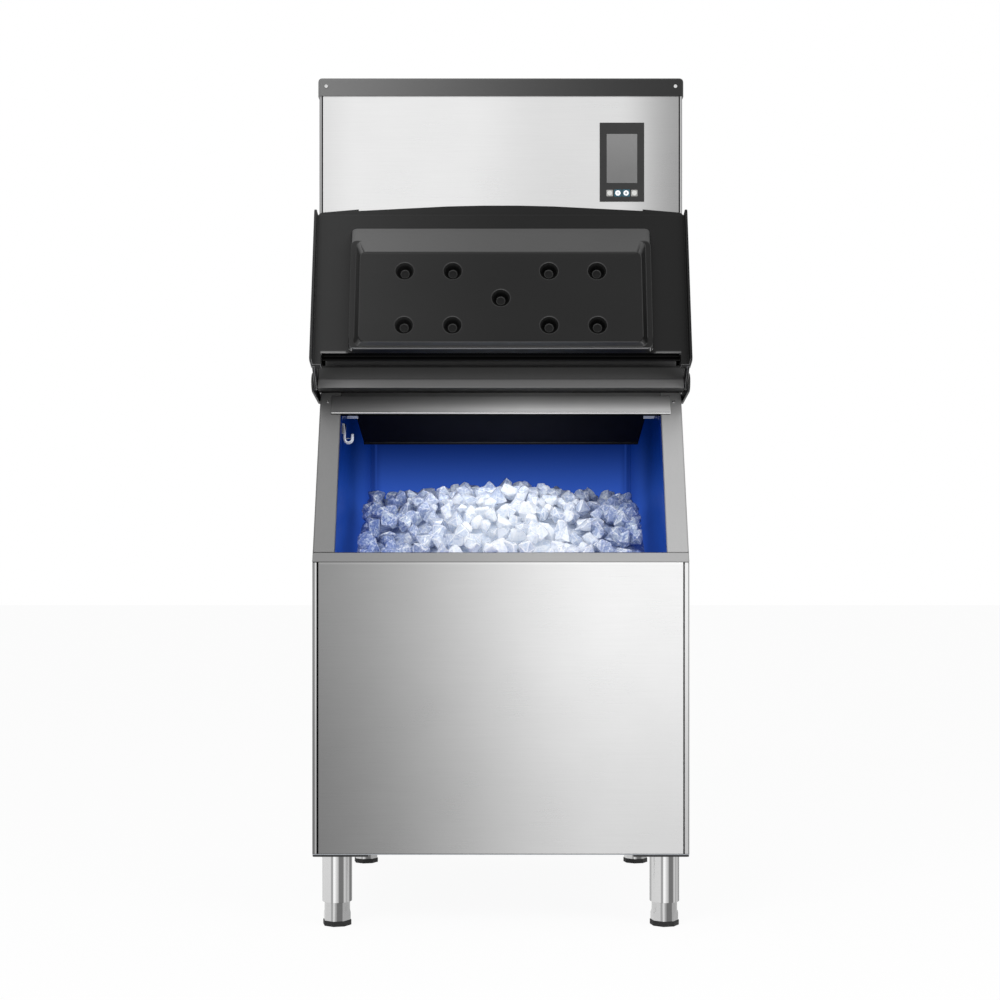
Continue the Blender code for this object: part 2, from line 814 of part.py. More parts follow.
def sweep(name, path, radius, material, sides=10, **placing):
    """Round bar or tube along a path of points."""
    bm = bmesh.new()
    points = [Vector(point) for point in path]
    rings = []
    normal = None
    for step, point in enumerate(points):
        before = points[max(step - 1, 0)]
        after = points[min(step + 1, len(points) - 1)]
        direction = (after - before).normalized()
        if normal is None:
            normal = direction.orthogonal().normalized()
        normal = (normal - direction * normal.dot(direction)).normalized()
        other = direction.cross(normal)
        angles = [math.tau * side / sides for side in range(sides)]
        around = [normal * math.cos(a) + other * math.sin(a) for a in angles]
        rings.append([bm.verts.new(point + outward * radius) for outward in around])
    for lower, upper in zip(rings, rings[1:]):
        join_rings(bm, lower, upper)
    bm.faces.new(rings[0])
    bm.faces.new(rings[-1])
    return smooth(add_object(name, bm, material, **placing))


def scoop_hook(white):
    """Hook for the ice scoop on the left wall of the liner, on a flat foot."""
    y = bin_front_y + hook_setback
    share = hook_setback / bin_depth
    wall = -(opening_width / 2 - liner_draft * share) + fit_gap
    top = hook_top_height
    radius = hook_wire / 2
    shank = wall + hook_foot_thickness + radius
    bend = (hook_reach - hook_wire) / 2
    path = [(shank, y, top), (shank, y, top - hook_height + bend + radius)]
    centre = (shank + bend, top - hook_height + bend + radius)
    path += [(x, y, z) for x, z in arc(centre, bend, 180, 350, 8)]
    path.append((shank + bend * 2, y, centre[1] + hook_tip))
    low = (wall, y - radius * 2, top - hook_height / 2)
    high = (wall + hook_foot_thickness + radius, y + radius * 2, top)
    foot = bevel(block("scoop_hook", low, high, white), hook_foot_thickness / 4, 2)
    weld(foot, sweep("scoop_hook_bar", path, radius, white, 12))


def hull(circles, steps=24):
    """Outline of the smallest shape round several circles given as (centre, radius)."""
    arcs = [arc(centre, radius, 0, 360, steps)[:-1] for centre, radius in circles]
    points = sorted(point for points in arcs for point in points)

    def chain(ordered):
        kept = []
        for point in ordered:
            while len(kept) > 1:
                first, second, third = Vector(kept[-2]), Vector(kept[-1]), Vector(point)
                if (second - first).cross(third - first) > 0:
                    break
                kept.pop()
            kept.append(point)
        return kept[:-1]
    return chain(points) + chain(points[::-1])


def hood_and_hinge(dark, steel):
    """Fixed strip over the opening, and at each end a bracket and the pin that the door turns on."""
    front = bin_front_y
    lip_z = slant_top_z + rail_proud
    flare_z = lip_z + hood_flare_height
    face_z = flare_z + hood_face_height
    ledge_y = front + hood_lip_setback + hood_flare + hood_face_lean + hood_ledge_step
    face_y = front + hood_lip_setback + hood_flare + hood_face_lean
    under = bin_top_z - fit_gap
    outline = [
        (front + hood_lip_setback, lip_z),
        (front + hood_lip_setback + hood_flare, flare_z),
        (face_y, face_z),
        (head_front_y - fit_gap, face_z),
        (head_front_y - fit_gap, under),
        (slant_top_y - rail_proud, under),
        (slant_top_y - rail_proud, lip_z),
    ]
    half = hood_width / 2
    hood = prism("hood_strip", outline, "X", -half, half, dark)
    low = (-half + hood_ledge_inset, ledge_y, face_z - hood_ledge_step)
    weld(hood, block("hood_ledge", low, (-low[0], head_front_y - fit_gap, face_z + hood_ledge_height), dark))
    bracket_inner = half_width + door_side_gap + door_flange_thickness - hinge_eye_lap + running_gap
    bracket_outer = bracket_inner + hinge_bracket_thickness
    foot = (hinge_y + hinge_foot_setback, hinge_z - hinge_foot_drop)
    cheek_front = hinge_y + hinge_eye_radius + hood_cheek_gap
    cheek_back = foot[0] - hinge_foot_radius - hood_cheek_back_gap
    cheek = [
        (half - hood_cheek_gap, cheek_front),
        (bracket_inner - fit_gap, cheek_front),
        (bracket_inner - fit_gap, cheek_back),
        (half_width + fit_gap, cheek_back),
        (half_width + fit_gap, head_front_y - fit_gap),
        (half - hood_cheek_gap, head_front_y - fit_gap),
    ]
    relief_run, relief_rise = hood_cheek_relief
    relief = [
        (cheek_front - fit_gap, lip_z - fit_gap),
        (cheek_front + relief_run, lip_z - fit_gap),
        (cheek_front - fit_gap, lip_z + relief_rise),
    ]
    for side, word in ((-1, "left"), (1, "right")):
        sided = [(side * x, y) for x, y in cheek]
        piece = prism(f"hood_cheek_{word}", sided, "Z", lip_z, face_z - hood_cheek_drop, dark)
        ends = sorted((side * (half - 2 * hood_cheek_gap), side * bracket_inner))
        weld(hood, cut(piece, prism(f"hood_relief_{word}", relief, "X", *ends, dark)))
    outline = hull((((hinge_y, hinge_z), hinge_bracket_radius), (foot, hinge_foot_radius)))
    for side, word in ((-1, "left"), (1, "right")):
        ends = sorted((side * bracket_inner, side * bracket_outer))
        bracket = prism(f"hinge_bracket_{word}", outline, "X", *ends, steel)
        ends = sorted((side * (half_width + fit_gap), side * (bracket_inner + hinge_bracket_thickness / 2)))
        weld(bracket, rod(f"hinge_spacer_{word}", hinge_foot_radius * 0.9, *ends, steel, (0, *foot), "X"))
        bore = hinge_pin_radius + fit_gap
        pin_end = bracket_outer - hinge_bracket_thickness * 0.3
        ends = sorted((side * (bracket_inner - cut_overrun), side * (pin_end + fit_gap)))
        cut(bracket, rod(f"hinge_bore_{word}", bore, *ends, steel, (0, hinge_y, hinge_z), "X"))
        ends = sorted((side * (half + fit_gap), side * pin_end))
        rod(f"hinge_pin_{word}", hinge_pin_radius, *ends, steel, (0, hinge_y, hinge_z), "X")


def ring_stack(name, rings, material, **placing):
    """Solid through a stack of rings with equal counts of points."""
    bm = bmesh.new()
    levels = [[bm.verts.new(point) for point in ring] for ring in rings]
    for lower, upper in zip(levels, levels[1:]):
        join_rings(bm, lower, upper)
    bm.faces.new(levels[0])
    bm.faces.new(levels[-1])
    return add_object(name, bm, material, **placing)


def mirrored(points):
    """Closes a right-hand outline with its mirror image."""
    return points + [(-x, u) for x, u in reversed(points) if x > fit_gap]


def door(plastic, plug_plastic):
    """Lift-up bin door: hollow-looking shell with side flanges and hinge links, and the moulded plug."""
    frame = bpy.data.objects.new("door_frame", None)
    bpy.context.scene.collection.objects.link(frame)
    frame.location = (0, hinge_y, hinge_z)
    frame.rotation_euler = (-door_lean, 0, 0)
    edge = half_width + door_side_gap
    outer = edge + door_flange_thickness
    notch = edge - door_arm_width
    arm_start = door_start - door_notch_depth
    corner_u = door_end + door_corner_grip
    flat_u = corner_u + door_corner_rise
    arch_u = flat_u - door_grip_step
    grip = half_width - door_grip_side
    shares = [step / 8 for step in range(9)]
    arch = [(grip * (1 - s), arch_u + door_grip_arch * math.sin(math.pi / 2 * s)) for s in shares]
    rim = [(edge, door_end)] + arc((edge - door_corner_grip, door_end), door_corner_grip, 0, 90, 5)[1:]
    rim += [(grip, flat_u)] + arch
    skin = mirrored(
        [(notch, door_band_start), (notch, arm_start), (edge, arm_start)] + rim
    )
    raised = mirrored([(notch, door_start), (notch, arm_start), (edge, arm_start), (edge, door_end)])
    grip_outline = mirrored([(edge, door_end - door_corner_rise)] + rim)
    step_face = door_face - door_grip_drop
    band_face = -door_back - door_band_thickness
    shell = prism("door_shell", skin, "Y", band_face, -door_back, plastic, parent=frame)
    low = -door_back - door_band_thickness / 2
    weld(
        shell,
        prism("door_raised", raised, "Y", -door_face, low, plastic, parent=frame),
        prism("door_grip", grip_outline, "Y", -step_face, low, plastic, parent=frame),
    )
    lip = door_face + door_flange_depth
    root = lip + door_flange_flare
    bend = door_flange_depth / 2
    flange = hull((
        ((-root + bend, arm_start + bend), bend),
        ((-lip + bend, door_end + door_corner_rise - bend), bend),
        ((-door_back - bend / 4, arm_start + bend / 4), bend / 4),
        ((-door_back - bend / 4, door_end + door_corner_rise - bend / 4), bend / 4),
    ))
    link = hull((
        ((0, 0), hinge_eye_radius),
        ((-door_back - bend, arm_start + bend), bend),
        ((-door_back - bend, arm_start + door_notch_depth), bend),
    ))
    link_outer = outer - hinge_eye_lap
    for side, word in ((-1, "left"), (1, "right")):
        ends = sorted((side * (edge - door_flange_thickness / 4), side * outer))
        weld(shell, prism(f"door_flange_{word}", flange, "X", *ends, plastic, parent=frame))
        ends = sorted((side * (link_outer - hinge_arm_thickness), side * link_outer))
        weld(shell, prism(f"door_link_{word}", link, "X", *ends, plastic, parent=frame))
    reach = outer + cut_overrun
    bore = hinge_pin_radius + fit_gap
    cut(shell, rod("door_bore", bore, -reach, reach, plastic, (0, 0, 0), "X", 24, frame))
    plug(plug_plastic, frame)


def plug(plastic, frame):
    """Moulded insulating plug: a rim, a raised panel with a sloping end, and nine round recesses."""
    base = -door_face - fit_gap
    rim_y = -door_face - plug_rim_depth
    top_y = -door_face - plug_depth
    slope = plug_bevel_length / plug_depth
    half = plug_half_width
    radius = plug_corner_radius

    def ring(half_x, start, end, y, corner):
        points = round_rectangle((-half_x, start), (half_x, end), corner, 3)
        return [(x, y, u) for x, u in points]
    rim_end = plug_end - plug_rim_depth * slope
    rim = ring_stack(
        "door_plug",
        [
            ring(half, plug_start, plug_end, base, radius),
            ring(half - plug_rim_draft, plug_start + plug_rim_draft, rim_end, rim_y, radius),
        ],
        plastic,
        parent=frame,
    )
    foot_half = half - plug_panel_side
    foot_start = plug_start + plug_panel_start
    sunk = (base + rim_y) / 2
    top_half = foot_half - plug_panel_draft
    panel = ring_stack(
        "plug_panel",
        [
            ring(foot_half, foot_start, rim_end, sunk, radius),
            ring(foot_half, foot_start, rim_end, rim_y, radius),
            ring(top_half, foot_start + plug_rim_draft, plug_end - plug_depth * slope, top_y, radius),
        ],
        plastic,
        parent=frame,
    )
    weld(rim, panel)
    flare = (recess_radius - recess_floor_radius) / recess_depth
    places = [(column, row) for row in (-1, 1) for column in (-2, -1, 1, 2)] + [(0, 0)]
    for step, (column, row) in enumerate(places):
        profile = [
            (0, -cut_overrun),
            (recess_radius + flare * cut_overrun, -cut_overrun),
            (recess_floor_radius, recess_depth),
            (0, recess_depth),
        ]
        rise = plug_start + recess_centre + row * recess_pitch_z
        centre = (column * recess_pitch_x, top_y, rise)
        cut(rim, turned(f"recess_{step}", profile, plastic, centre, "Y", 28, frame))


def base_top():
    return bin_top_z + fit_gap + base_pan_height


def folded_front(name, low_z, high_z, front, inner, steel):
    """Sheet panel with its side edges folded back."""
    fold = front + panel_return
    outline = [
        (-inner, front),
        (inner, front),
        (inner, fold),
        (inner - sheet, fold),
        (inner - sheet, front + sheet),
        (-inner + sheet, front + sheet),
        (-inner + sheet, fold),
        (-inner, fold),
    ]
    return prism(name, outline, "Z", low_z, high_z, steel)


def head_shell(steel, galvanised, cap_plastic):
    """Casing of the ice head: base pan with the ice chute, four panels and the top cover."""
    low_z = bin_top_z + fit_gap
    high_z = head_top_z - cap_wall - fit_gap
    wall = half_width - sheet
    inner = wall - fit_gap
    front = head_front_y + sheet + fit_gap
    back = bin_back_y - sheet - fit_gap
    low = (-inner, head_front_y + panel_return + fit_gap, low_z)
    base = block("head_base", low, (inner, back, base_top()), galvanised)
    chute_low = (chute_left, bin_front_y + chute_start, low_z - cut_overrun)
    chute_high = (chute_right, bin_front_y + chute_start + chute_depth, base_top() + cut_overrun)
    cut(base, block("chute_cutter", chute_low, chute_high, galvanised))
    for side, word in ((-1, "left"), (1, "right")):
        ends = sorted((side * wall, side * half_width))
        low = (ends[0], head_front_y, low_z)
        panel = block(f"head_side_panel_{word}", low, (ends[1], bin_back_y, high_z), steel)
        ends = sorted((side * (half_width - head_strip), side * (wall + sheet / 2)))
        low = (ends[0], head_front_y, low_z)
        weld(panel, block(f"head_fold_{word}", low, (ends[1], head_front_y + sheet, high_z), steel))
        slots = []
        for step in range(louvre_count):
            z = base_top() + louvre_start + step * louvre_pitch
            y = bin_back_y - louvre_back_gap
            low = (side * half_width - sheet * 2, y - louvre_length, z)
            slots.append((low, (side * half_width + sheet * 2, y, z + louvre_height)))
        if side > 0:
            cut(panel, blocks("louvre_cutter", slots, steel))
    panel_half = half_width - head_strip - head_panel_gap
    front_panel = folded_front("head_front_panel", low_z, high_z, head_front_y, panel_half, steel)
    hole = panel_width / 2 - panel_frame
    hole_low = (panel_centre_x - hole, head_front_y - cut_overrun, panel_low_z + panel_frame)
    hole_high = (panel_centre_x + hole, head_front_y + cut_overrun, panel_top() - panel_frame)
    cut(front_panel, block("panel_hole", hole_low, hole_high, steel))
    low = (-inner, bin_back_y - sheet, low_z)
    back_panel = block("head_back_panel", low, (inner, bin_back_y, high_z), galvanised)
    slots = []
    for step in range(vent_count):
        z = base_top() + vent_start + step * vent_pitch
        for left in (condenser_left + vent_inset, (condenser_left + condenser_right) / 2 + vent_inset / 2):
            right = left + (condenser_right - condenser_left) / 2 - vent_inset * 1.5
            low = (left, bin_back_y - cut_overrun, z)
            slots.append((low, (right, bin_back_y + cut_overrun, z + vent_height)))
    cut(back_panel, blocks("vent_cutter", slots, galvanised))
    for name, x, rise, radius in back_fittings():
        centre = (x, bin_back_y, base_top() + rise)
        hole = radius + fit_gap
        cut(back_panel, rod(name + "_hole", hole, -cut_overrun, cut_overrun, galvanised, centre, "Y"))
    reach = half_width + cap_overhang
    rim_z = head_top_z - cap_height
    low = (-reach, head_front_y - cap_overhang, rim_z - cap_edge_radius * 2)
    high = (reach, bin_back_y + cap_overhang, head_top_z)
    cap = bevel(block("top_cover", low, high, cap_plastic), cap_edge_radius, 4)
    low = (low[0] - cut_overrun, low[1] - cut_overrun, low[2] - cut_overrun)
    high = (high[0] + cut_overrun, high[1] + cut_overrun, rim_z)
    trim = block("cap_trim", low, high, cap_plastic)
    inside = half_width + fit_gap
    low = (-inside, head_front_y - fit_gap, rim_z - cut_overrun)
    high = (inside, bin_back_y + fit_gap, head_top_z - cap_wall)
    cut(cap, trim, block("cap_hollow", low, high, cap_plastic))


def panel_top():
    return head_top_z - cap_height - panel_drop


def controls(bezel_plastic, screen_glass, button_plastic):
    """Control panel let into the head front, with its display and four sprung buttons."""
    face = head_front_y - panel_proud
    back = face + panel_thickness
    half = panel_width / 2
    low = (panel_centre_x - half, face, panel_low_z)
    high = (panel_centre_x + half, head_front_y - fit_gap, panel_top())
    bezel = block("control_panel", low, high, bezel_plastic)
    inside = half - panel_frame - fit_gap
    low = (panel_centre_x - inside, face + panel_proud / 2, panel_low_z + panel_frame + fit_gap)
    high = (panel_centre_x + inside, back, panel_top() - panel_frame - fit_gap)
    weld(bezel, block("panel_body", low, high, bezel_plastic))
    screen_top = panel_top() - screen_drop
    left, right = panel_centre_x - screen_width / 2, panel_centre_x + screen_width / 2
    front = face + screen_sink
    low = (left, front, screen_top - screen_height)
    block("display_screen", low, (right, front + screen_thickness, screen_top), screen_glass)
    low = (left - fit_gap, face - cut_overrun, screen_top - screen_height - fit_gap)
    high = (right + fit_gap, front + screen_thickness + fit_gap, screen_top + fit_gap)
    cut(bezel, block("screen_pocket", low, high, bezel_plastic))
    depth = button_length - button_proud + button_travel + running_gap
    for step, word in enumerate(("power", "minus", "plus", "set")):
        x = panel_centre_x + (step - 1.5) * button_pitch
        centre = (x, face, panel_low_z + button_rise)
        bore = button_radius + fit_gap
        cutter = rod(f"button_bore_{word}", bore, -cut_overrun, depth, bezel_plastic, centre, "Y", 32)
        cut(bezel, cutter)
        length = button_length - button_proud
        edge = button_proud / 2
        profile = [
            (0, -button_proud),
            (button_radius - edge, -button_proud),
            (button_radius, -button_proud + edge),
            (button_radius, length),
            (0, length),
        ]
        turned(f"button_{word}", profile, button_plastic, centre, "Y", 32)


def freezer(galvanised, copper, clear, white):
    """Ice making side: frame over the chute, grid evaporator, water pipe, trough, pump and curtain."""
    floor = base_top() + fit_gap
    left, right = freezer_left, freezer_right
    front = bin_front_y + freezer_start
    back = bin_front_y + freezer_back
    top = floor + freezer_height
    plate = frame_plate
    outline = [
        (left, front),
        (left + plate, front),
        (left + plate, back - plate),
        (right - plate, back - plate),
        (right - plate, front),
        (right, front),
        (right, back),
        (left, back),
    ]
    frame = prism("freezer_frame", outline, "Z", floor, top, galvanised)
    inside_left, inside_right = left + plate + fit_gap, right - plate - fit_gap
    grid_back = back - plate - fit_gap
    grid_top = top - grid_drop
    low = (inside_left + grid_inset, grid_back - grid_depth, grid_top - grid_height)
    high = (inside_right - grid_inset, grid_back, grid_top)
    evaporator = block("evaporator", low, high, copper)
    cells = []
    pitch_x = (high[0] - low[0] - grid_wall) / grid_columns
    pitch_z = (grid_height - grid_wall) / grid_rows
    for column in range(grid_columns):
        for row in range(grid_rows):
            x = low[0] + grid_wall + column * pitch_x
            z = low[2] + grid_wall + row * pitch_z
            corner = (x + pitch_x - grid_wall, low[1] + grid_depth - grid_wall * 2, z + pitch_z - grid_wall)
            cells.append(((x, low[1] - cut_overrun, z), corner))
    cut(evaporator, blocks("cell_cutter", cells, copper))
    pipe_y = grid_back - pipe_radius - fit_gap
    pipe_z = grid_top + pipe_radius + fit_gap
    rod("water_distributor", pipe_radius, inside_left, inside_right, white, (0, pipe_y, pipe_z), "X")
    axis_y = grid_back - grid_depth - curtain_gap
    axis_z = pipe_z
    length = axis_z - (grid_top - grid_height) + curtain_overlap
    pin = curtain_pin_radius
    edge = inside_right - curtain_side_gap
    start = inside_left + curtain_side_gap
    low = (start, -curtain_thickness / 2, -length)
    high = (edge, curtain_thickness / 2, pin / 2)
    curtain = block("water_curtain", low, high, clear, location=(0, axis_y, axis_z))
    reach = (left + plate / 4, right - plate / 4)
    weld(curtain, rod("curtain_pin", pin, *reach, clear, (0, axis_y, axis_z), "X"))
    ends = (left - cut_overrun, right + cut_overrun)
    bore = rod("curtain_bore", pin + fit_gap, *ends, galvanised, (0, axis_y, axis_z), "X")
    cut(frame, bore)
    wall = trough_wall
    trough_top = grid_top - grid_height - trough_gap
    low = (inside_left, grid_back - trough_depth, trough_top - trough_height)
    high = (inside_right, grid_back, trough_top)
    trough = block("water_trough", low, high, white)
    low = (low[0] + wall, low[1] + wall, low[2] + wall)
    cut(trough, block("trough_hollow", low, (high[0] - wall, high[1] - wall, high[2] + cut_overrun), white))
    centre = (right + fit_gap + pump_radius, grid_back - trough_depth / 2, trough_top - trough_height)
    profile = [
        (0, -pump_drop),
        (pump_radius * 0.8, -pump_drop),
        (pump_radius, -pump_drop * 0.6),
        (pump_radius, pump_height),
        (pump_radius * 0.5, pump_height),
        (pump_radius * 0.5, pump_height * 1.3),
        (0, pump_height * 1.3),
    ]
    turned("water_pump", profile, white, centre, "Z", 24)


def cooling(black, copper, aluminium, plastic, galvanised):
    """Refrigeration side: compressor, condenser, fan with its shroud and motor, and the suction line."""
    floor = base_top() + fit_gap
    x, y = compressor_x, bin_front_y + compressor_setback
    r, height = compressor_radius, compressor_height
    profile = [
        (0, 0),
        (r * 1.15, 0),
        (r * 1.15, compressor_flange),
        (r, compressor_flange * 2),
        (r, height * 0.72),
        (r * 0.86, height * 0.88),
        (r * 0.5, height * 0.98),
        (r * 0.2, height),
        (0, height),
    ]
    turned("compressor", profile, black, (x, y, floor), "Z", 36)
    back = bin_back_y - sheet - fit_gap
    low = (condenser_left, back - condenser_depth, floor)
    coil = block("condenser", low, (condenser_right, back, floor + condenser_height), aluminium)
    slots = []
    pitch = (condenser_right - condenser_left) / fin_count
    for step in range(fin_count):
        left = condenser_left + pitch * (step + 0.3)
        z = (floor + condenser_rim, floor + condenser_height - condenser_rim)
        slot_end = (left + pitch * 0.4, low[1] + condenser_depth * 0.3, z[1])
        slots.append(((left, low[1] - cut_overrun, z[0]), slot_end))
    cut(coil, blocks("fin_cutter", slots, aluminium))
    shroud_back = low[1] - fit_gap
    shroud_low = (condenser_left, shroud_back - shroud_thickness, floor)
    shroud_high = (condenser_right, shroud_back, floor + condenser_height)
    shroud = block("fan_shroud", shroud_low, shroud_high, galvanised)
    centre_x = (condenser_left + condenser_right) / 2
    centre = (centre_x, shroud_low[1], floor + condenser_height / 2)
    hole = fan_radius + fan_tip_gap
    cut(shroud, rod("shroud_hole", hole, -cut_overrun, cut_overrun, galvanised, centre, "Y", 48))
    fan_y = shroud_low[1] - fan_standoff
    hub = fan_hub_radius
    centre = (centre_x, fan_y, centre[2])
    fan = rod("condenser_fan", hub, -fan_hub_length / 2, fan_hub_length / 2, plastic, centre, "Y", 24)
    for step in range(fan_blades):
        outline = [
            (hub * 0.7, -fan_blade_width * 0.28),
            (fan_radius * 0.75, -fan_blade_width * 0.5),
            (fan_radius * 0.97, -fan_blade_width * 0.3),
            (fan_radius, fan_blade_width * 0.3),
            (fan_radius * 0.75, fan_blade_width * 0.5),
            (hub * 0.7, fan_blade_width * 0.28),
        ]
        turn = Matrix.Rotation(math.tau * step / fan_blades, 4, "Y") @ Matrix.Rotation(fan_pitch, 4, "X")
        half = fan_blade_thickness / 2
        blade = prism(f"fan_blade_{step}", outline, "Y", -half, half, plastic)
        blade.data.transform(turn)
        blade.location = centre
        weld(fan, blade)
    shaft = motor_shaft_radius
    start = fan_hub_length / 2
    bore = (shaft + running_gap, -start - cut_overrun, start * 0.6)
    cut(fan, rod("fan_bore", *bore, plastic, centre, "Y", 16))
    motor_front = -start - running_gap * 4 - motor_length
    profile = [
        (0, motor_front),
        (motor_radius, motor_front),
        (motor_radius, motor_front + motor_length),
        (shaft, motor_front + motor_length),
        (shaft, start * 0.5),
        (0, start * 0.5),
    ]
    motor = turned("fan_motor", profile, black, centre, "Y", 24)
    arm_y = fan_y + motor_front + motor_length / 2
    arm = fan_radius + fan_tip_gap + motor_arm
    z = centre[2]
    strap_low = (centre_x - arm, arm_y, z - motor_arm)
    strap = block("motor_strap", strap_low, (centre_x + arm, arm_y + motor_arm / 2, z + motor_arm), black)
    weld(motor, strap)
    for side, word in ((-1, "left"), (1, "right")):
        ends = sorted((centre_x + side * arm, centre_x + side * (arm - motor_arm / 2)))
        post_low = (ends[0], arm_y, z - motor_arm)
        post = block(f"motor_post_{word}", post_low, (ends[1], shroud_low[1] - fit_gap, z + motor_arm), black)
        weld(motor, post)
    frame_back = bin_front_y + freezer_back + fit_gap
    high = floor + height + suction_rise
    start_x = freezer_right - suction_inset
    path = [(start_x, frame_back, high), (start_x, y - suction_bend, high)]
    path += [(start_x + suction_bend * 0.3, y - suction_bend * 0.3, high), (start_x + suction_bend, y, high)]
    path += [(x - suction_bend, y, high), (x - suction_bend * 0.3, y, high - suction_bend * 0.3)]
    path += [(x, y, high - suction_bend), (x, y, floor + height + fit_gap)]
    sweep("suction_line", path, suction_radius, copper, 10)


def back_fittings():
    """Name, place across, height over the base and pipe radius of each fitting on the head's back."""
    return (
        ("water_inlet_valve", fitting_x, fitting_rise, valve_radius),
        ("drain_outlet", fitting_x - fitting_pitch, drain_outlet_rise, outlet_radius),
        ("cable_gland", fitting_x + fitting_pitch, fitting_rise, gland_radius),
    )


def services(box_steel, brass, plastic, black):
    """Electrical box behind the controls, and the water and power fittings on the back."""
    back = head_front_y - panel_proud + panel_thickness
    low = (panel_centre_x - box_half_width, back + fit_gap, panel_low_z - box_margin)
    high = (panel_centre_x + box_half_width, back + box_depth, panel_top() + box_margin)
    box = block("electrical_box", low, high, box_steel)
    bevel(box, sheet, 1)
    materials = (brass, plastic, black)
    for (name, x, rise, radius), material in zip(back_fittings(), materials):
        nut = radius * 1.45
        profile = [
            (0, -fitting_inside),
            (radius * 0.9, -fitting_inside),
            (radius * 0.9, -sheet * 2),
            (radius, -sheet * 2),
            (radius, fit_gap),
            (nut, fit_gap),
            (nut, fitting_flange),
            (radius * 0.8, fitting_flange),
            (radius * 0.8, fitting_outside),
            (radius * 0.55, fitting_outside),
            (radius * 0.55, fitting_flange),
            (0, fitting_flange),
        ]
        turned(name, profile, material, (x, bin_back_y, base_top() + rise), "Y", 24)


def clear_scene():
    for piece in list(bpy.data.objects):
        bpy.data.objects.remove(piece)


def build():
    """Makes every material and every piece."""
    clear_scene()
    steel = finish("stainless_steel", (0.62, 0.62, 0.61), 0.34, 1.0)
    galvanised = finish("galvanised_steel", (0.45, 0.46, 0.47), 0.5, 1.0)
    foam = finish("foam_insulation", (0.78, 0.70, 0.48), 0.9, 0.0)
    liner_blue = finish("blue_liner", (0.05, 0.16, 0.45), 0.4, 0.0)
    dark = finish("dark_plastic", (0.03, 0.03, 0.032), 0.5, 0.0)
    white = finish("white_plastic", (0.8, 0.8, 0.8), 0.4, 0.0)
    ice = finish("ice", (0.85, 0.92, 0.97), 0.15, 0.0)
    bezel = finish("bezel_plastic", (0.05, 0.05, 0.055), 0.4, 0.0)
    glass = finish("screen_glass", (0.20, 0.21, 0.22), 0.1, 0.0)
    button = finish("button_plastic", (0.05, 0.25, 0.40), 0.35, 0.0)
    cap = finish("cap_plastic", (0.10, 0.10, 0.105), 0.45, 0.0)
    copper = finish("copper", (0.72, 0.45, 0.32), 0.3, 1.0)
    clear = finish("curtain_plastic", (0.7, 0.75, 0.78), 0.2, 0.0)
    aluminium = finish("aluminium", (0.75, 0.75, 0.76), 0.35, 1.0)
    brass = finish("brass", (0.70, 0.55, 0.25), 0.3, 1.0)
    black = finish("black_enamel", (0.02, 0.02, 0.02), 0.35, 0.0)
    bin_panels(steel, galvanised)
    bin_lining(foam, liner_blue)
    bin_drain(white)
    opening_frame(steel)
    legs(steel)
    deflector(dark, white)
    scoop_hook(white)
    ice_heap(ice)
    hood_and_hinge(dark, steel)
    door(dark, dark)
    head_shell(steel, galvanised, cap)
    controls(bezel, glass, button)
    freezer(galvanised, copper, clear, white)
    cooling(black, copper, aluminium, dark, galvanised)
    services(galvanised, brass, white, black)


build()
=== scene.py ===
"""Looks of the commercial ice maker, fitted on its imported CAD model. Metres, +Z up, the front faces -Y."""

import json
import math
import random

import bmesh
import bpy
from mathutils import Matrix, Vector
from mathutils.bvhtree import BVHTree


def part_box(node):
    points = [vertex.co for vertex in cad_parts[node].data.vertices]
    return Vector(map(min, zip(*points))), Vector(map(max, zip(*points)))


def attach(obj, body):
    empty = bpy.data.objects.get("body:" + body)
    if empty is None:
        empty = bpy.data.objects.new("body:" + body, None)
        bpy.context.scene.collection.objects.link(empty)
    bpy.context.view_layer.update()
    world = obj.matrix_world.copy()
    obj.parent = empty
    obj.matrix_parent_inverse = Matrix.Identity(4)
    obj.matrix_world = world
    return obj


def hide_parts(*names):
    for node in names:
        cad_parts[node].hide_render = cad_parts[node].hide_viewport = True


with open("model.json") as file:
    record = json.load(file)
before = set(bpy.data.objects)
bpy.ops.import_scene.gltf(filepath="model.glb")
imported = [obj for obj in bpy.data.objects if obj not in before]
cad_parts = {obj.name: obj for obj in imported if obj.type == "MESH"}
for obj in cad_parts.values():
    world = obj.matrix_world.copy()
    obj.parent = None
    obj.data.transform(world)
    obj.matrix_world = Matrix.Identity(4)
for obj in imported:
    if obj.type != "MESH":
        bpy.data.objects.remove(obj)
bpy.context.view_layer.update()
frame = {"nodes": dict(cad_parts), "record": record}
nodes = frame["nodes"]
body_of_node = {name: body for body, names in frame["record"]["behaviour"]["bodies"].items() for name in names}

# Camera: level, in front of the machine, with the lens that gives the photograph's frame
camera_distance = 3.2
camera_height = 0.7254
camera_lens, camera_sensor = 56.93, 36
camera_shift = (-0.0008, 0.071)

# Places on the machine, in metres, by which finishes and pieces are laid out
bin_front = -0.4065
opening_foot, opening_head = Vector((0, bin_front, 0.7437)), Vector((0, -0.2565, 1.103))
leg_centre, leg_half_width = 0.336, 0.0305
plug_reach, plug_foot, plug_lean = 0.423, 1.1867, 0.2593
recess_depth = (0.006, 0.008)
leg_plate_foot, pad_height = 0.146, 0.0106
door_band_top, door_band_half_width, rail_lip_top = 1.175, 0.366, 1.0572

display_gamma = 2.2


def tone(*display):
    """Linear colour of an sRGB display colour; one number is a grey."""
    values = display * 3 if len(display) == 1 else display
    return tuple(v / 12.92 if v <= 0.04045 else ((v + 0.055) / 1.055) ** 2.4 for v in values)


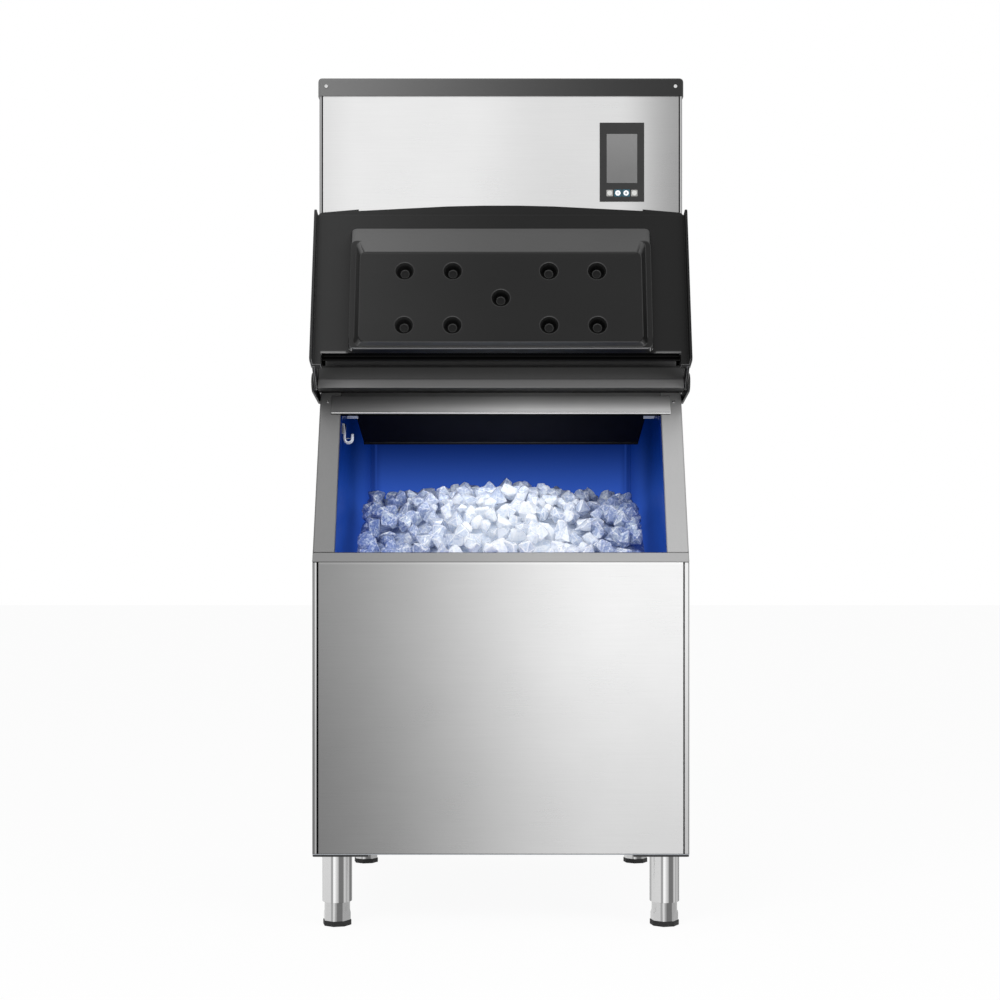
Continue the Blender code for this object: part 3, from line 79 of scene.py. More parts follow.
class Signal:
    """One output of a shader node, for use in arithmetic."""

    def __init__(self, finish, socket):
        self.finish = finish
        self.socket = socket

    def math(self, operation, *values):
        return self.finish.node("Math", {"operation": operation}, dict(enumerate(values)))

    def __add__(self, other):
        return self.math("ADD", self, other)

    def __sub__(self, other):
        return self.math("SUBTRACT", self, other)

    def __rsub__(self, other):
        return self.math("SUBTRACT", other, self)

    def __mul__(self, other):
        return self.math("MULTIPLY", self, other)

    def __truediv__(self, other):
        return self.math("DIVIDE", self, other)

    def __pow__(self, other):
        return self.math("POWER", self, other)

    __radd__ = __add__

    def size(self):
        return self.math("ABSOLUTE", self)

    def least(self, other):
        return self.math("MINIMUM", self, other)

    def most(self, other):
        return self.math("MAXIMUM", self, other)

    def rise(self, start, end):
        """Soft step from 0 at start to 1 at end."""
        settings = {"interpolation_type": "SMOOTHSTEP", "clamp": True}
        return self.finish.node("MapRange", settings, {"Value": self, "From Min": start, "From Max": end})

    def fall(self, start, end):
        """Soft step from 1 at start to 0 at end."""
        return 1 - self.rise(start, end)

    def band(self, start, end, soft):
        """1 between start and end, with soft edges inside them."""
        return self.rise(start, start + soft) * self.fall(end - soft, end)


class Finish:
    """A material made of nodes round one Principled shader."""

    def __init__(self, name, **sockets):
        self.material = bpy.data.materials.new(name)
        self.material.use_nodes = True
        self.tree = self.material.node_tree
        self.shader = self.tree.nodes["Principled BSDF"]
        self.set(**sockets)

    def set(self, **sockets):
        for name, value in sockets.items():
            self.join(self.shader.inputs[name.replace("_", " ")], value)
        return self

    def join(self, socket, value):
        if isinstance(value, Signal):
            self.tree.links.new(value.socket, socket)
        elif socket.type == "RGBA" and len(value) == 3:
            socket.default_value = (*value, 1)
        else:
            socket.default_value = value

    def node(self, kind, settings=None, values=None, output=0):
        """New shader node: settings first, then values or links of its sockets by name or number."""
        node = self.tree.nodes.new("ShaderNode" + kind)
        for key, value in (settings or {}).items():
            setattr(node, key, value)
        for key, value in (values or {}).items():
            self.join(node.inputs[key], value)
        return Signal(self, node.outputs[output])

    def place(self, stretch=(1, 1, 1)):
        """Position on the machine, stretched along the axes."""
        spot = self.node("TexCoord", output="Object")
        return self.node("VectorMath", {"operation": "MULTIPLY"}, {0: spot, 1: stretch})

    def component(self, output, axis):
        """A texture coordinate's component along an axis."""
        vector = self.node("TexCoord", output=output)
        return self.node("SeparateXYZ", None, {0: vector}, "XYZ".index(axis))

    def along(self, axis):
        """Place on the machine along an axis, in metres."""
        return self.component("Object", axis)

    def facing(self, axis):
        """How far the surface faces along an axis, -1 to 1."""
        return self.component("Normal", axis)

    def cloud(self, scale, detail, stretch=(1, 1, 1)):
        """Noise round 0, of about +-0.5."""
        values = {"Vector": self.place(stretch), "Scale": scale, "Detail": detail}
        return self.node("TexNoise", None, values) - 0.5

    def mix(self, share, first, second, mode="MIX"):
        settings = {"data_type": "RGBA", "blend_type": mode, "clamp_factor": True}
        return self.node("Mix", settings, {0: share, 6: first, 7: second}, 2)

    def grey(self, signal):
        """Colour from a display grey that varies."""
        linear = signal ** display_gamma
        return self.node("CombineColor", None, {0: linear, 1: linear, 2: linear})

    def bump(self, height, distance, strength):
        """Small relief: height in units of the distance, which is in metres."""
        return self.node("Bump", None, {"Strength": strength, "Distance": distance, "Height": height})


def steel(name, level, roughness=0.3, brush=(6, 300, 300), glint=0.022, metallic=1.0):
    """Brushed stainless sheet. The level gives its display grey with its painted sheen and shade, from the finish,
    before the brushing.
    """
    finish = Finish(name, Metallic=metallic)
    streak = finish.cloud(1.0, 2, brush)
    fine = finish.cloud(1.0, 1, tuple(3.1 * b for b in brush))
    dull = finish.cloud(9.0, 3)
    value = level(finish) + streak * glint + fine * glint * 0.6 + dull * 0.03
    finish.set(Base_Color=finish.grey(value), Roughness=dull * 0.12 + streak * 0.1 + roughness)
    return finish.set(Normal=finish.bump(streak + fine, 0.00012, 0.25))


# Painted sheen, highlights and shade: each gives a display grey, 0 to 1, by the place on the machine and the way
# that the surface faces


def front_level(finish):
    """Sheen of the bin's front panel: dark at the left, bright towards the top right."""
    across = finish.along("X").rise(-0.50, 0.25)
    up = finish.along("Z").rise(0.12, 0.72)
    lit_edge = finish.along("Z").rise(0.7385, 0.7395) * 0.05
    return (0.53 + across * 0.44) * (0.865 + up * 0.135) + lit_edge


def head_level(finish):
    """Sheen of the head's front panel: even, and darker at its right end; painted shade where it shows behind the
    hood.
    """
    x = finish.along("X")
    low = finish.along("Z").fall(1.25, 1.7) * 0.03
    edge = x.fall(-0.40, -0.30) * 0.05
    level = 0.92 - low * x.rise(-0.2, 0.05) - x.rise(-0.08, 0.10) * 0.05 - x.rise(0.24, 0.39) * 0.24 - edge
    # Painted shade on the panel's low ends, behind the hood
    shade_behind_hood = finish.along("Z").fall(1.167, 1.169) * x.size().rise(0.352, 0.356)
    return level * (1 - shade_behind_hood * 0.95)


def side_sheen(finish, level):
    """A soft sheen on the machine's two sides, and the given level on the folds at their front."""
    side = finish.facing("X").size().rise(0.90, 0.98)
    sheen = 0.56 + finish.along("Z").rise(0.1, 1.75) * 0.14 - finish.along("Y").fall(-0.42, 0.1) * 0.07
    return level + (sheen - level) * side


def corner_level(finish):
    """Sheen of the narrow folds beside the front panels: a light line between darker edges."""
    across = finish.along("X").size()
    right = finish.along("X").rise(-0.1, 0.1)
    level = 0.43 + across.rise(0.3725, 0.3765) * 0.29 - across.rise(0.3775, 0.3815) * 0.22 + right * 0.05
    return side_sheen(finish, level)


def fold_level(finish):
    """Sheen of the folds beside the bin's front: a bright line in the left one, and the right one nearly white."""
    across = finish.along("X").size()
    right = finish.along("X").rise(-0.1, 0.1)
    left = 1 - right
    line = across.rise(0.3732, 0.3738) * left * 0.25 - across.rise(0.3762, 0.3768) * left * 0.30
    level = 0.60 + right * 0.35 + line - across.rise(0.3790, 0.3798) * right * 0.36
    return side_sheen(finish, level * (0.80 + finish.along("Z").rise(0.15, 0.72) * 0.20))


def side_rail_level(finish):
    """Sheen of the two upright rails of the opening."""
    across = finish.along("X")
    return 0.52 + across.rise(-0.1, 0.3) * 0.18 - across.size().rise(0.3775, 0.3815) * 0.12


def top_rail_level(finish):
    """Sheen of the rail under the hood: in its shadow at the top and dark at the left."""
    across = finish.along("X").rise(-0.42, 0.10)
    shadow = finish.along("Z").rise(1.062, 1.102)
    return 0.42 + across * 0.46 - shadow * (0.10 + across * 0.24)


def bottom_rail_level(finish):
    """Sheen of the rail at the opening's foot: lighter towards its right end."""
    return 0.56 + finish.along("X").rise(-0.40, 0.15) * 0.14


def leg_across(finish):
    """From -1 at a leg's left edge to 1 at its right edge, the same on each: the legs stand evenly apart."""
    outward = finish.along("X").size() - leg_centre
    side = finish.along("X").rise(-0.001, 0.001) * 2 - 1
    return outward * side / leg_half_width


def banded(across, level, *bands):
    """Level that rises or falls by a step at each band's edge."""
    for start, end, step in bands:
        level = across.rise(start, end) * step + level
    return level


def leg_level(finish):
    """Bands of light and shade down a polished leg."""
    left = ((-0.95, -0.88, 0.20), (-0.36, -0.28, -0.22), (-0.22, -0.14, 0.37), (-0.10, 0.14, -0.22))
    right = ((0.14, 0.24, -0.31), (0.46, 0.56, 0.33), (0.60, 0.68, -0.12), (0.70, 0.76, 0.08), (0.82, 0.90, -0.32))
    return banded(leg_across(finish), 0.62, *left, *right)


def foot_level(finish):
    """Bands of light and shade down a levelling foot."""
    left = ((-0.36, -0.31, -0.15), (-0.22, -0.18, 0.20), (-0.12, 0.0, -0.22))
    return banded(leg_across(finish), 0.78, *left, (0.02, 0.10, -0.18), (0.40, 0.46, 0.20))


def moulding(name, level, roughness=0.42, tint=(1.0, 1.0, 1.0), grain=0.00006, gloss=0.25):
    """Dark moulded plastic with a fine even grain and faint flow marks."""
    finish = Finish(name, Specular_IOR_Level=gloss)
    leather = finish.cloud(900, 2)
    flow = finish.cloud(5, 3, (1, 1, 2.5))
    value = level(finish) + flow * 0.02 + leather * 0.02
    colour = finish.mix(1.0, finish.grey(value), tint, "MULTIPLY")
    finish.set(Base_Color=colour, Roughness=flow * 0.10 + leather * 0.08 + roughness)
    return finish.set(Normal=finish.bump(leather, grain, 0.5))


def door_level(finish):
    """The door is painted lighter towards its left, and a highlight is painted along the edges of its two notches.
    """
    height = finish.along("Z")
    # Painted highlight along the notch edges, by height and width alone, so it shows on both faces of the shell
    notch_highlight = finish.along("X").size().band(0.314, 0.369, 0.003)
    notch_highlight = notch_highlight * height.rise(1.1690, 1.1696) * height.fall(1.1732, 1.1738)
    return 0.075 + finish.along("X").fall(-0.46, 0.12) * 0.10 + notch_highlight * 0.22


def door_edge_level(finish):
    """Painted highlight on the edges that face down, as of light from the floor; the edges of the band under the
    plug are painted dark, as deep shade.
    """
    across, height = finish.along("X").size(), finish.along("Z")
    arm = across.rise(0.310, 0.313) * height.rise(1.1655, 1.167)
    shown = arm.most(across.rise(0.3660, 0.3668)).most(height.rise(1.175, 1.178))
    return 0.02 + (door_level(finish) + 0.01 + finish.facing("Z").rise(-0.1, -0.5) * 0.30) * shown


def plug_level(finish):
    """The plug's sloping top end and the downward slope at its foot get a painted highlight; its recesses, the faces
    that turn away from the front, and all below its lowest edge get painted shade; it is lighter towards its left.
    """
    height = finish.along("Z")
    front = (0 - finish.facing("Y")).rise(0.25, 0.60)
    top = finish.facing("Z").rise(0.25, 0.75) * height.rise(1.372, 1.376)
    slope = finish.facing("Z").rise(-0.15, -0.45) * height.fall(1.20, 1.21)
    below = height.fall(1.1735, 1.1745)
    depth = finish.along("Y") + plug_reach - (height - plug_foot) * plug_lean
    recess = depth.rise(*recess_depth) * finish.along("X").size().fall(0.285, 0.290)
    recess = recess * height.rise(1.20, 1.205) * height.fall(1.365, 1.370)
    face = 0.085 + finish.along("X").fall(-0.40, 0.05) * 0.065 - recess * 0.06
    shown = 0.02 + front.most(top).most(slope) * (face - 0.02) + top * 0.20 + slope * 0.11
    return shown * (1 - below) + 0.01


def plug_edge_level(finish):
    """Painted highlight: a bright line along the plug's lowest edge and a faint one on the others; painted shade
    makes a dark one inside them.
    """
    height = finish.along("Z")
    down = finish.facing("Z").rise(-0.05, -0.45)
    lowest = height.band(1.1722, 1.1774, 0.0006)
    in_shade = height.fall(1.1722, 1.1728).most(height.rise(1.1870, 1.1880) * height.fall(1.195, 1.200))
    return (0.15 + down * 0.14 + lowest * 0.28) * (1 - in_shade) + 0.03


def hood_level(finish):
    """Painted light and shade on the hood: its ledge and face are deep in shade, its flare is lighter, a painted
    shadow line runs in its crease, and its underside is dark.
    """
    height = finish.along("Z")
    flare = height.fall(1.120, 1.127)
    under = finish.facing("Z").rise(-0.4, -0.8)
    crease = height.band(1.1485, 1.1525, 0.001)
    return 0.27 + flare * 0.18 - crease * 0.10 - under * 0.27


def cover_level(finish):
    """Top cover: lighter towards its left end."""
    return 0.445 - finish.along("X").rise(-0.6, 0.55) * 0.31


def plain(level):
    """The same grey all over, with a faint cloud."""
    return lambda finish: finish.cloud(30, 2) * 0.02 + level


def liner_finish():
    """Blue moulded liner whose light is painted in: lighter and glowing lower down and on its back wall, with a
    painted highlight line by its back corners and painted shade in those corners, and darker near the top, where the
    lamp behind the deflector doesn't reach.
    """
    finish = Finish("liner_blue", Specular_IOR_Level=0.12, Emission_Strength=1.0)
    across = finish.along("X").size()
    back = finish.along("Y").rise(-0.1, 0.3)
    depth = finish.along("Z").fall(0.86, 1.08)
    shine = finish.cloud(4, 2)
    corner = 1 - across.rise(0.295, 0.320) * back * 0.6
    colour = finish.mix(depth * 0.8 + shine * 0.3, tone(0.0, 0.09, 0.38), tone(0.02, 0.22, 0.56))
    shine_line = across.band(0.308, 0.3155, 0.003) * back * 0.16
    low = finish.along("Z").fall(0.83, 0.97) * (1 - back) * 0.22
    lit = depth * (0.04 + back * 0.96) * corner + shine_line + low
    shade = finish.mix(back, tone(0.0, 0.04, 0.14), tone(0.0, 0.08, 0.27))
    # Painted light: the liner glows through its emission, though it is no lamp
    glow = finish.mix(lit, shade, tone(0.19, 0.34, 0.70))
    ripple = finish.cloud(60, 2)
    finish.set(Base_Color=colour, Emission_Color=glow, Roughness=shine * 0.15 + 0.32)
    return finish.set(Normal=finish.bump(ripple, 0.0002, 0.3))


def ice_finish(name, clear, dark, light, core, glow):
    """Wet ice, cloudy inside: bluish at the sides of the heap; a painted pool of light makes its middle white and
    glowing.
    """
    finish = Finish(name, Transmission_Weight=clear, IOR=1.31, Emission_Strength=1.0, Coat_Weight=0.8)
    island = finish.node("NewGeometry", output="Random Per Island")
    cloudy = finish.cloud(48, 5)
    fine = finish.cloud(190, 2)
    cracks = finish.node("TexVoronoi", {"feature": "DISTANCE_TO_EDGE"}, {"Vector": finish.place(), "Scale": 95})
    line = cracks.fall(0.0, 0.05)
    off_centre = (finish.along("X") - 0.02).size()
    # Painted pool of light: the heap's middle is whitened and made to glow
    middle = off_centre.fall(0.06, 0.29) * (1 - finish.along("Z").rise(0.870, 0.930) * 0.8)
    pale = cloudy * 3.0 + fine * 3.2 + island * 0.6 + line * 0.60 + middle * 0.30 - 0.02
    colour = finish.mix(middle * 0.9, finish.mix(pale, dark, light), finish.mix(pale + 0.25, light, core))
    finish.set(Base_Color=colour, Roughness=cloudy * 0.15 + island * 0.06 + 0.07)
    # Painted light: the middle glows through the emission, though the ice is no lamp
    finish.set(Emission_Color=finish.mix(pale * middle, tone(0.0), glow))
    return finish.set(Normal=finish.bump(cloudy + fine * 0.5 + line * 0.3, 0.002, 0.5))


def cast(name, colour, other, scale, roughness, metallic=0.0, relief=0.0002):
    """Plain finish with a slight change of colour and a small relief."""
    finish = Finish(name, Metallic=metallic)
    spots = finish.cloud(scale, 4)
    finish.set(Base_Color=finish.mix(spots + 0.5, tone(*colour), tone(*other)), Roughness=spots * 0.2 + roughness)
    return finish.set(Normal=finish.bump(spots, relief, 0.4))


def foam_finish():
    """Pale foam, painted dark as shade where it shows in the gaps round the opening and behind the front panel, and
    painted light grey in those gaps at the right.
    """
    finish = Finish("foam", Roughness=0.9)
    cells = finish.cloud(300, 3)
    side = finish.along("X").size().rise(0.365, 0.367)
    front = finish.along("Y").fall(-0.388, -0.386)
    # Painted shade: the foam is dark where it shows in the gaps at the opening's sides, behind the front panel and
    # above the opening
    gap_shade = side.most(front).most(finish.along("Z").rise(1.086, 1.088))
    colour = finish.mix(cells + 0.5, tone(0.86, 0.80, 0.62), tone(0.93, 0.88, 0.72))
    gap_colour = finish.mix(finish.along("X").rise(-0.1, 0.1), tone(0.10), tone(0.78))
    finish.set(Base_Color=finish.mix(gap_shade, colour, gap_colour))
    return finish.set(Normal=finish.bump(cells, 0.0004, 0.5))


def screen_finish():
    """Grey display window with a soft sheen across it."""
    finish = Finish("display_window", Roughness=0.2, Specular_IOR_Level=0.4)
    sheen = finish.along("Z").rise(1.54, 1.65)
    haze = finish.cloud(25, 2)
    return finish.set(Base_Color=finish.grey(0.41 + sheen * 0.05 + haze * 0.02))


front_steel = steel("front_panel_steel", front_level)
head_steel = steel("head_panel_steel", head_level)
corner_steel = steel("head_side_steel", corner_level, brush=(300, 6, 300))
fold_steel = steel("bin_side_steel", fold_level, brush=(300, 6, 300))
side_rail_steel = steel("side_rail_steel", side_rail_level, 0.45, (300, 300, 8), metallic=0.65)
top_rail_steel = steel("top_rail_steel", top_rail_level, 0.5, metallic=0.45)
bottom_rail_steel = steel("bottom_rail_steel", bottom_rail_level, 0.34)
leg_steel = steel("polished_leg_steel", leg_level, 0.16, (40, 40, 500), 0.02)
foot_steel = steel("foot_steel", foot_level, 0.22, (40, 40, 300), 0.03)
hinge_steel = cast("hinge_plate_black", (0.05, 0.05, 0.05), (0.09, 0.09, 0.09), 90, 0.5)
lip_steel = steel("rolled_lip_steel", plain(0.93), 0.25, (6, 300, 300), 0.02)
pin_steel = steel("pin_steel", plain(0.62), 0.25, (300, 60, 60))
screw_steel = steel("screw_steel", plain(0.85), 0.2, (200, 200, 200), 0.02)
door_plastic = moulding("door_plastic", door_level)
door_edge = moulding("door_edge_plastic", door_edge_level, 0.3)
plug_plastic = moulding("plug_plastic", plug_level)
plug_edge = moulding("plug_edge_plastic", plug_edge_level, 0.3)
# Near-black plastic painted over faces in deep shade
shade_plastic = moulding("painted_shade_plastic", plain(0.02), 0.6, gloss=0.05)
hood_plastic = moulding("hood_plastic", hood_level)
cover_plastic = moulding("cover_plastic", cover_level)
deflector_plastic = moulding("deflector_plastic", plain(0.085), 0.45, (0.7, 0.75, 1.6), gloss=0.08)
bezel_plastic = moulding("bezel_plastic", plain(0.19), 0.3, grain=0.00002)
fan_plastic = moulding("fan_plastic", plain(0.14))
liner_blue = liner_finish()
bright_ice = ice_finish(
    "bright_ice", 0.0, tone(0.60, 0.67, 0.84), tone(0.90, 0.94, 0.99), tone(0.98, 0.99, 1.0), tone(0.20, 0.22, 0.26)
)
clear_ice = ice_finish(
    "clear_ice", 0.15, tone(0.46, 0.55, 0.79), tone(0.84, 0.90, 0.98), tone(0.95, 0.97, 1.0), tone(0.14, 0.17, 0.22)
)
# Ice with a painted highlight, for the bright outlines on the chunks' worn rims
ice_rim_highlight = ice_finish(
    "ice_rim_highlight", 0.0, tone(0.52, 0.60, 0.82), tone(0.95, 0.97, 1.0), tone(1.0), tone(0.20, 0.22, 0.26)
)
white_plastic = cast("white_moulding", (0.84, 0.86, 0.90), (0.90, 0.91, 0.94), 60, 0.35)
display_window = screen_finish()
galvanised = cast("galvanised_sheet", (0.62, 0.64, 0.66), (0.74, 0.75, 0.77), 70, 0.42, 1.0, 0.0001)
foam = foam_finish()
copper = cast("copper", (0.80, 0.52, 0.40), (0.88, 0.62, 0.50), 50, 0.3, 1.0)
brass = cast("brass", (0.78, 0.66, 0.38), (0.86, 0.75, 0.48), 60, 0.3, 1.0)
fins = cast("coil_fins", (0.66, 0.67, 0.68), (0.80, 0.81, 0.82), 90, 0.35, 1.0)
enamel = cast("black_enamel", (0.07, 0.07, 0.075), (0.12, 0.12, 0.125), 60, 0.3)
rubber = cast("foot_rubber", (0.10, 0.10, 0.10), (0.15, 0.15, 0.15), 200, 0.8)
curtain_plastic = cast("curtain_plastic", (0.80, 0.84, 0.88), (0.88, 0.90, 0.93), 40, 0.2)
teal_tile = cast("teal_tile", (0.10, 0.27, 0.33), (0.16, 0.36, 0.42), 200, 0.3)
silver_tile = cast("silver_tile", (0.54, 0.54, 0.53), (0.62, 0.62, 0.61), 200, 0.3)
pale_print = cast("pale_print", (0.74, 0.74, 0.73), (0.80, 0.80, 0.79), 200, 0.4)
dark_print = cast("dark_print", (0.10, 0.12, 0.13), (0.14, 0.16, 0.17), 200, 0.4)
white_print = cast("white_print", (0.93, 0.95, 0.97), (0.97, 0.98, 1.0), 200, 0.5)


def add_piece(name, bm, finishes, body):
    """Object from a bmesh, riding on a body."""
    mesh = bpy.data.meshes.new(name)
    bm.to_mesh(mesh)
    bm.free()
    if "custom_normal" in mesh.attributes:
        mesh.attributes.remove(mesh.attributes["custom_normal"])
    return place_mesh(name, mesh, finishes, body)


def place_mesh(name, mesh, finishes, body):
    """Object from a mesh, with its finishes, riding on a body."""
    for finish in finishes:
        mesh.materials.append(finish.material)
    piece = bpy.data.objects.new(name, mesh)
    bpy.context.scene.collection.objects.link(piece)
    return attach(piece, body)


def shade(mesh, angle):
    """Smooth shading, but for the edges that turn by more than an angle in degrees."""
    mesh.shade_smooth()
    mesh.set_sharp_from_angle(angle=math.radians(angle))


def soft_edges(piece, width, segments, edge_finish):
    """Small round on the sharp edges, so that they catch the light."""
    shade(piece.data, sharp_angle)
    modifier = piece.modifiers.new("soft_edges", "BEVEL")
    modifier.width = width
    modifier.segments = segments
    modifier.limit_method = "ANGLE"
    modifier.angle_limit = math.radians(sharp_angle)
    modifier.material = edge_finish
    modifier.use_clamp_overlap = False
    modifier.harden_normals = True


def refined(name, finish, width, segments):
    """Copy of a CAD node with each flat face in one, and its edges softened; it stands for the node."""
    bm = bmesh.new()
    bm.from_mesh(nodes[name].data)
    bmesh.ops.remove_doubles(bm, verts=bm.verts, dist=merge_distance)
    bmesh.ops.dissolve_limit(bm, angle_limit=math.radians(flat_angle), verts=bm.verts, edges=bm.edges)
    bmesh.ops.recalc_face_normals(bm, faces=bm.faces)
    for layer in list(bm.loops.layers.uv.values()):
        bm.loops.layers.uv.remove(layer)
    finishes = [finish]
    edge_number = -1
    if name in edge_finishes:
        edge_number = len(finishes)
        finishes.append(edge_finishes[name])
    for patch, names, holds in patches:
        if name.startswith(names):
            for face in bm.faces:
                if holds(face.calc_center_median(), face.normal):
                    face.material_index = len(finishes)
            finishes.append(patch)
    piece = add_piece(name + "_finished", bm, finishes, body_of_node[name])
    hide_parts(name)
    soft_edges(piece, width, segments, edge_number)


def dress(name, finish):
    """Keeps a CAD node and gives it its finish."""
    for slot in nodes[name].material_slots:
        slot.material = finish.material


merge_distance = 0.00001
flat_angle, sharp_angle, turned_angle = 1, 28, 35
# Finishes of the softened edges, which carry painted highlights and shade
edge_finishes = {"door_shell": door_edge, "door_plug": plug_edge}
# Parts of a node with a finish of their own: the finish, the start of the nodes' names, and which faces it takes
patches = (
    # The legs' top plates take the black enamel, as painted shade under the cabinet
    (enamel, "leg_", lambda place, facing: place.z > leg_plate_foot),
    (rubber, "foot_", lambda place, facing: place.z < pad_height),
    # The band under the plug is painted nearly black, as deep shade
    (
        shade_plastic,
        "door_shell",
        lambda place, facing: place.z < door_band_top and abs(place.x) < door_band_half_width,
    ),
    # The top rail's underside and its face below the lip are painted nearly black, as shade
    (shade_plastic, "frame_rail_top", lambda place, facing: facing.z < -0.3 or place.z < rail_lip_top),
)
# Width and segments of the soft edges, finish, nodes
refinements = (
    (0.0012, 3, front_steel, ("bin_front_panel",)),
    (0.0010, 3, head_steel, ("head_front_panel",)),
    (0.0006, 2, fold_steel, ("bin_side_panel_left", "bin_side_panel_right")),
    (0.0005, 2, corner_steel, ("head_side_panel_left", "head_side_panel_right")),
    (0.0010, 3, side_rail_steel, ("frame_rail_left", "frame_rail_right")),
    (0.0012, 3, top_rail_steel, ("frame_rail_top",)),
    (0.0012, 3, bottom_rail_steel, ("frame_rail_bottom",)),
    (0.0010, 3, leg_steel, ("leg_front_left", "leg_front_right", "leg_back_left", "leg_back_right")),
    (0.0008, 2, foot_steel, ("foot_front_left", "foot_front_right", "foot_back_left", "foot_back_right")),
    (0.0007, 2, hinge_steel, ("hinge_bracket_left", "hinge_bracket_right")),
    (0.0008, 2, pin_steel, ("hinge_pin_left", "hinge_pin_right")),
    (0.0009, 2, door_plastic, ("door_shell",)),
    (0.0013, 2, plug_plastic, ("door_plug",)),
    (0.0012, 2, hood_plastic, ("hood_strip",)),
    (0.0012, 3, deflector_plastic, ("ice_deflector",)),
    (0.0008, 2, white_plastic, ("deflector_clip_left", "deflector_clip_right", "scoop_hook")),
    (0.0008, 3, bezel_plastic, ("control_panel",)),
)
for width, segments, finish, names in refinements:
    for name in names:
        refined(name, finish, width, segments)
# Nodes that are shown as they are, with their finish
kept_nodes = (
    (cover_plastic, ("top_cover",)),
    (liner_blue, ("bin_liner",)),
    (display_window, ("display_screen",)),
    (pale_print, ("button_power", "button_set")),
    (white_print, ("button_minus", "button_plus")),
    (fan_plastic, ("condenser_fan",)),
    (white_plastic, ("bin_drain", "water_distributor", "water_trough", "water_pump", "drain_outlet")),
    (galvanised, ("bin_back_panel", "bin_base", "head_base", "head_back_panel")),
    (galvanised, ("freezer_frame", "fan_shroud", "electrical_box")),
    (foam, ("bin_insulation",)),
    (copper, ("evaporator", "suction_line")),
    (curtain_plastic, ("water_curtain",)),
    (fins, ("condenser",)),
    (brass, ("water_inlet_valve",)),
    (enamel, ("compressor", "fan_motor", "cable_gland")),
)
for finish, names in kept_nodes:
    for name in names:
        dress(name, finish)


def surface_at(name, x, z):
    """Where a line from the front meets a node."""
    mesh = nodes[name].data
    tree = BVHTree.FromPolygons([v.co for v in mesh.vertices], [p.vertices for p in mesh.polygons])
    in_front = Vector((x, -2, z))
    place, facing, _, _ = tree.ray_cast(in_front, Vector((0, 1, 0)))
    return place, facing


def ring(bm, place, turn, radius, height, sides):
    """Circle of points round an axis, at a height along it."""
    points = []
    for number in range(sides):
        angle = math.tau * number / sides
        point = Vector((radius * math.cos(angle), radius * math.sin(angle), height))
        points.append(bm.verts.new(place + turn @ point))
    return points


def bridge(bm, first, second):
    """Faces between two loops of as many points."""
    for number in range(len(first)):
        after = (number + 1) % len(first)
        bm.faces.new((first[number], first[after], second[after], second[number]))


def turned(name, place, axis, profile, finish, body, sides=24):
    """Solid turned from a profile of (radius, height) pairs, closed at both ends."""
    bm = bmesh.new()
    turn = Vector(axis).to_track_quat("Z", "Y")
    rings = [ring(bm, place, turn, radius, height, sides) for radius, height in profile]
    for first, second in zip(rings, rings[1:]):
        bridge(bm, first, second)
    bm.faces.new(reversed(rings[0]))
    bm.faces.new(rings[-1])
    bmesh.ops.recalc_face_normals(bm, faces=bm.faces)
    piece = add_piece(name, bm, [finish], body)
    shade(piece.data, turned_angle)


def screw(name, node, x, z, radius):
    """Socket screw whose head sits on the front of a node; its profile is in shares of radius and height."""
    place, facing = surface_at(node, x, z)
    height = radius * 0.55
    shares = ((1.0, -0.05), (1.0, 0.35), (0.9, 0.75), (0.6, 1.0), (0.42, 1.0), (0.38, 0.45), (0.05, 0.40))
    profile = [(radius * out, height * up) for out, up in shares]
    turned(name, place, facing, profile, screw_steel, body_of_node[node])


def bead(name, half_length, y, z, radius, finish):
    """Bead with rounded ends, straight across the cabinet."""
    start, end = Vector((-half_length, y, z)), Vector((half_length, y, z))
    length = (end - start).length
    shares = ((0.3, 0.0), (0.75, 0.35), (1.0, 1.0))
    profile = [(radius * out, radius * up) for out, up in shares]
    profile += [(radius * out, length - radius * up) for out, up in reversed(shares)]
    turned(name, start, end - start, profile, finish, "cabinet", sides=12)


def plate(name, outline, hole, y, thickness, finish, body):
    """Thin flat print on the front of the panel, with or without a hole that has as many points."""
    bm = bmesh.new()
    loops = []
    for points in (outline, hole):
        loops.append([[bm.verts.new((x, depth, z)) for x, z in points] for depth in (y, y - thickness)])
    (back, front), (hole_back, hole_front) = loops
    bridge(bm, back, front)
    if hole:
        bridge(bm, hole_front, hole_back)
        bridge(bm, front, hole_front)
        bridge(bm, hole_back, back)
    else:
        bm.faces.new(front)
        bm.faces.new(back)
    bmesh.ops.recalc_face_normals(bm, faces=bm.faces)
    add_piece(name, bm, [finish], body)


def rounded_tile(across, up, width, height, hole_radius):
    """Outline of a tile with round corners, and its hole, point for point."""
    outline, hole = [], []
    for number in range(tile_points):
        angle = math.tau * (number + 0.5) / tile_points
        right, top = math.cos(angle), math.sin(angle)
        reach = (abs(right) ** tile_corner + abs(top) ** tile_corner) ** (-1 / tile_corner)
        outline.append((across + right * reach * width / 2, up + top * reach * height / 2))
        hole.append((across + right * hole_radius, up + top * hole_radius))
    return outline, hole


def key_sign(across, up, upright):
    """Outline of a minus sign, or with the upright bar of a plus sign."""
    long, thin = sign_length / 2, sign_width / 2
    half = [(long, -thin), (long, thin)]
    if upright:
        half += [(thin, thin), (thin, long), (-thin, long), (-thin, thin)]
    return [(across + x, up + z) for x, z in half + [(-x, -z) for x, z in half]]


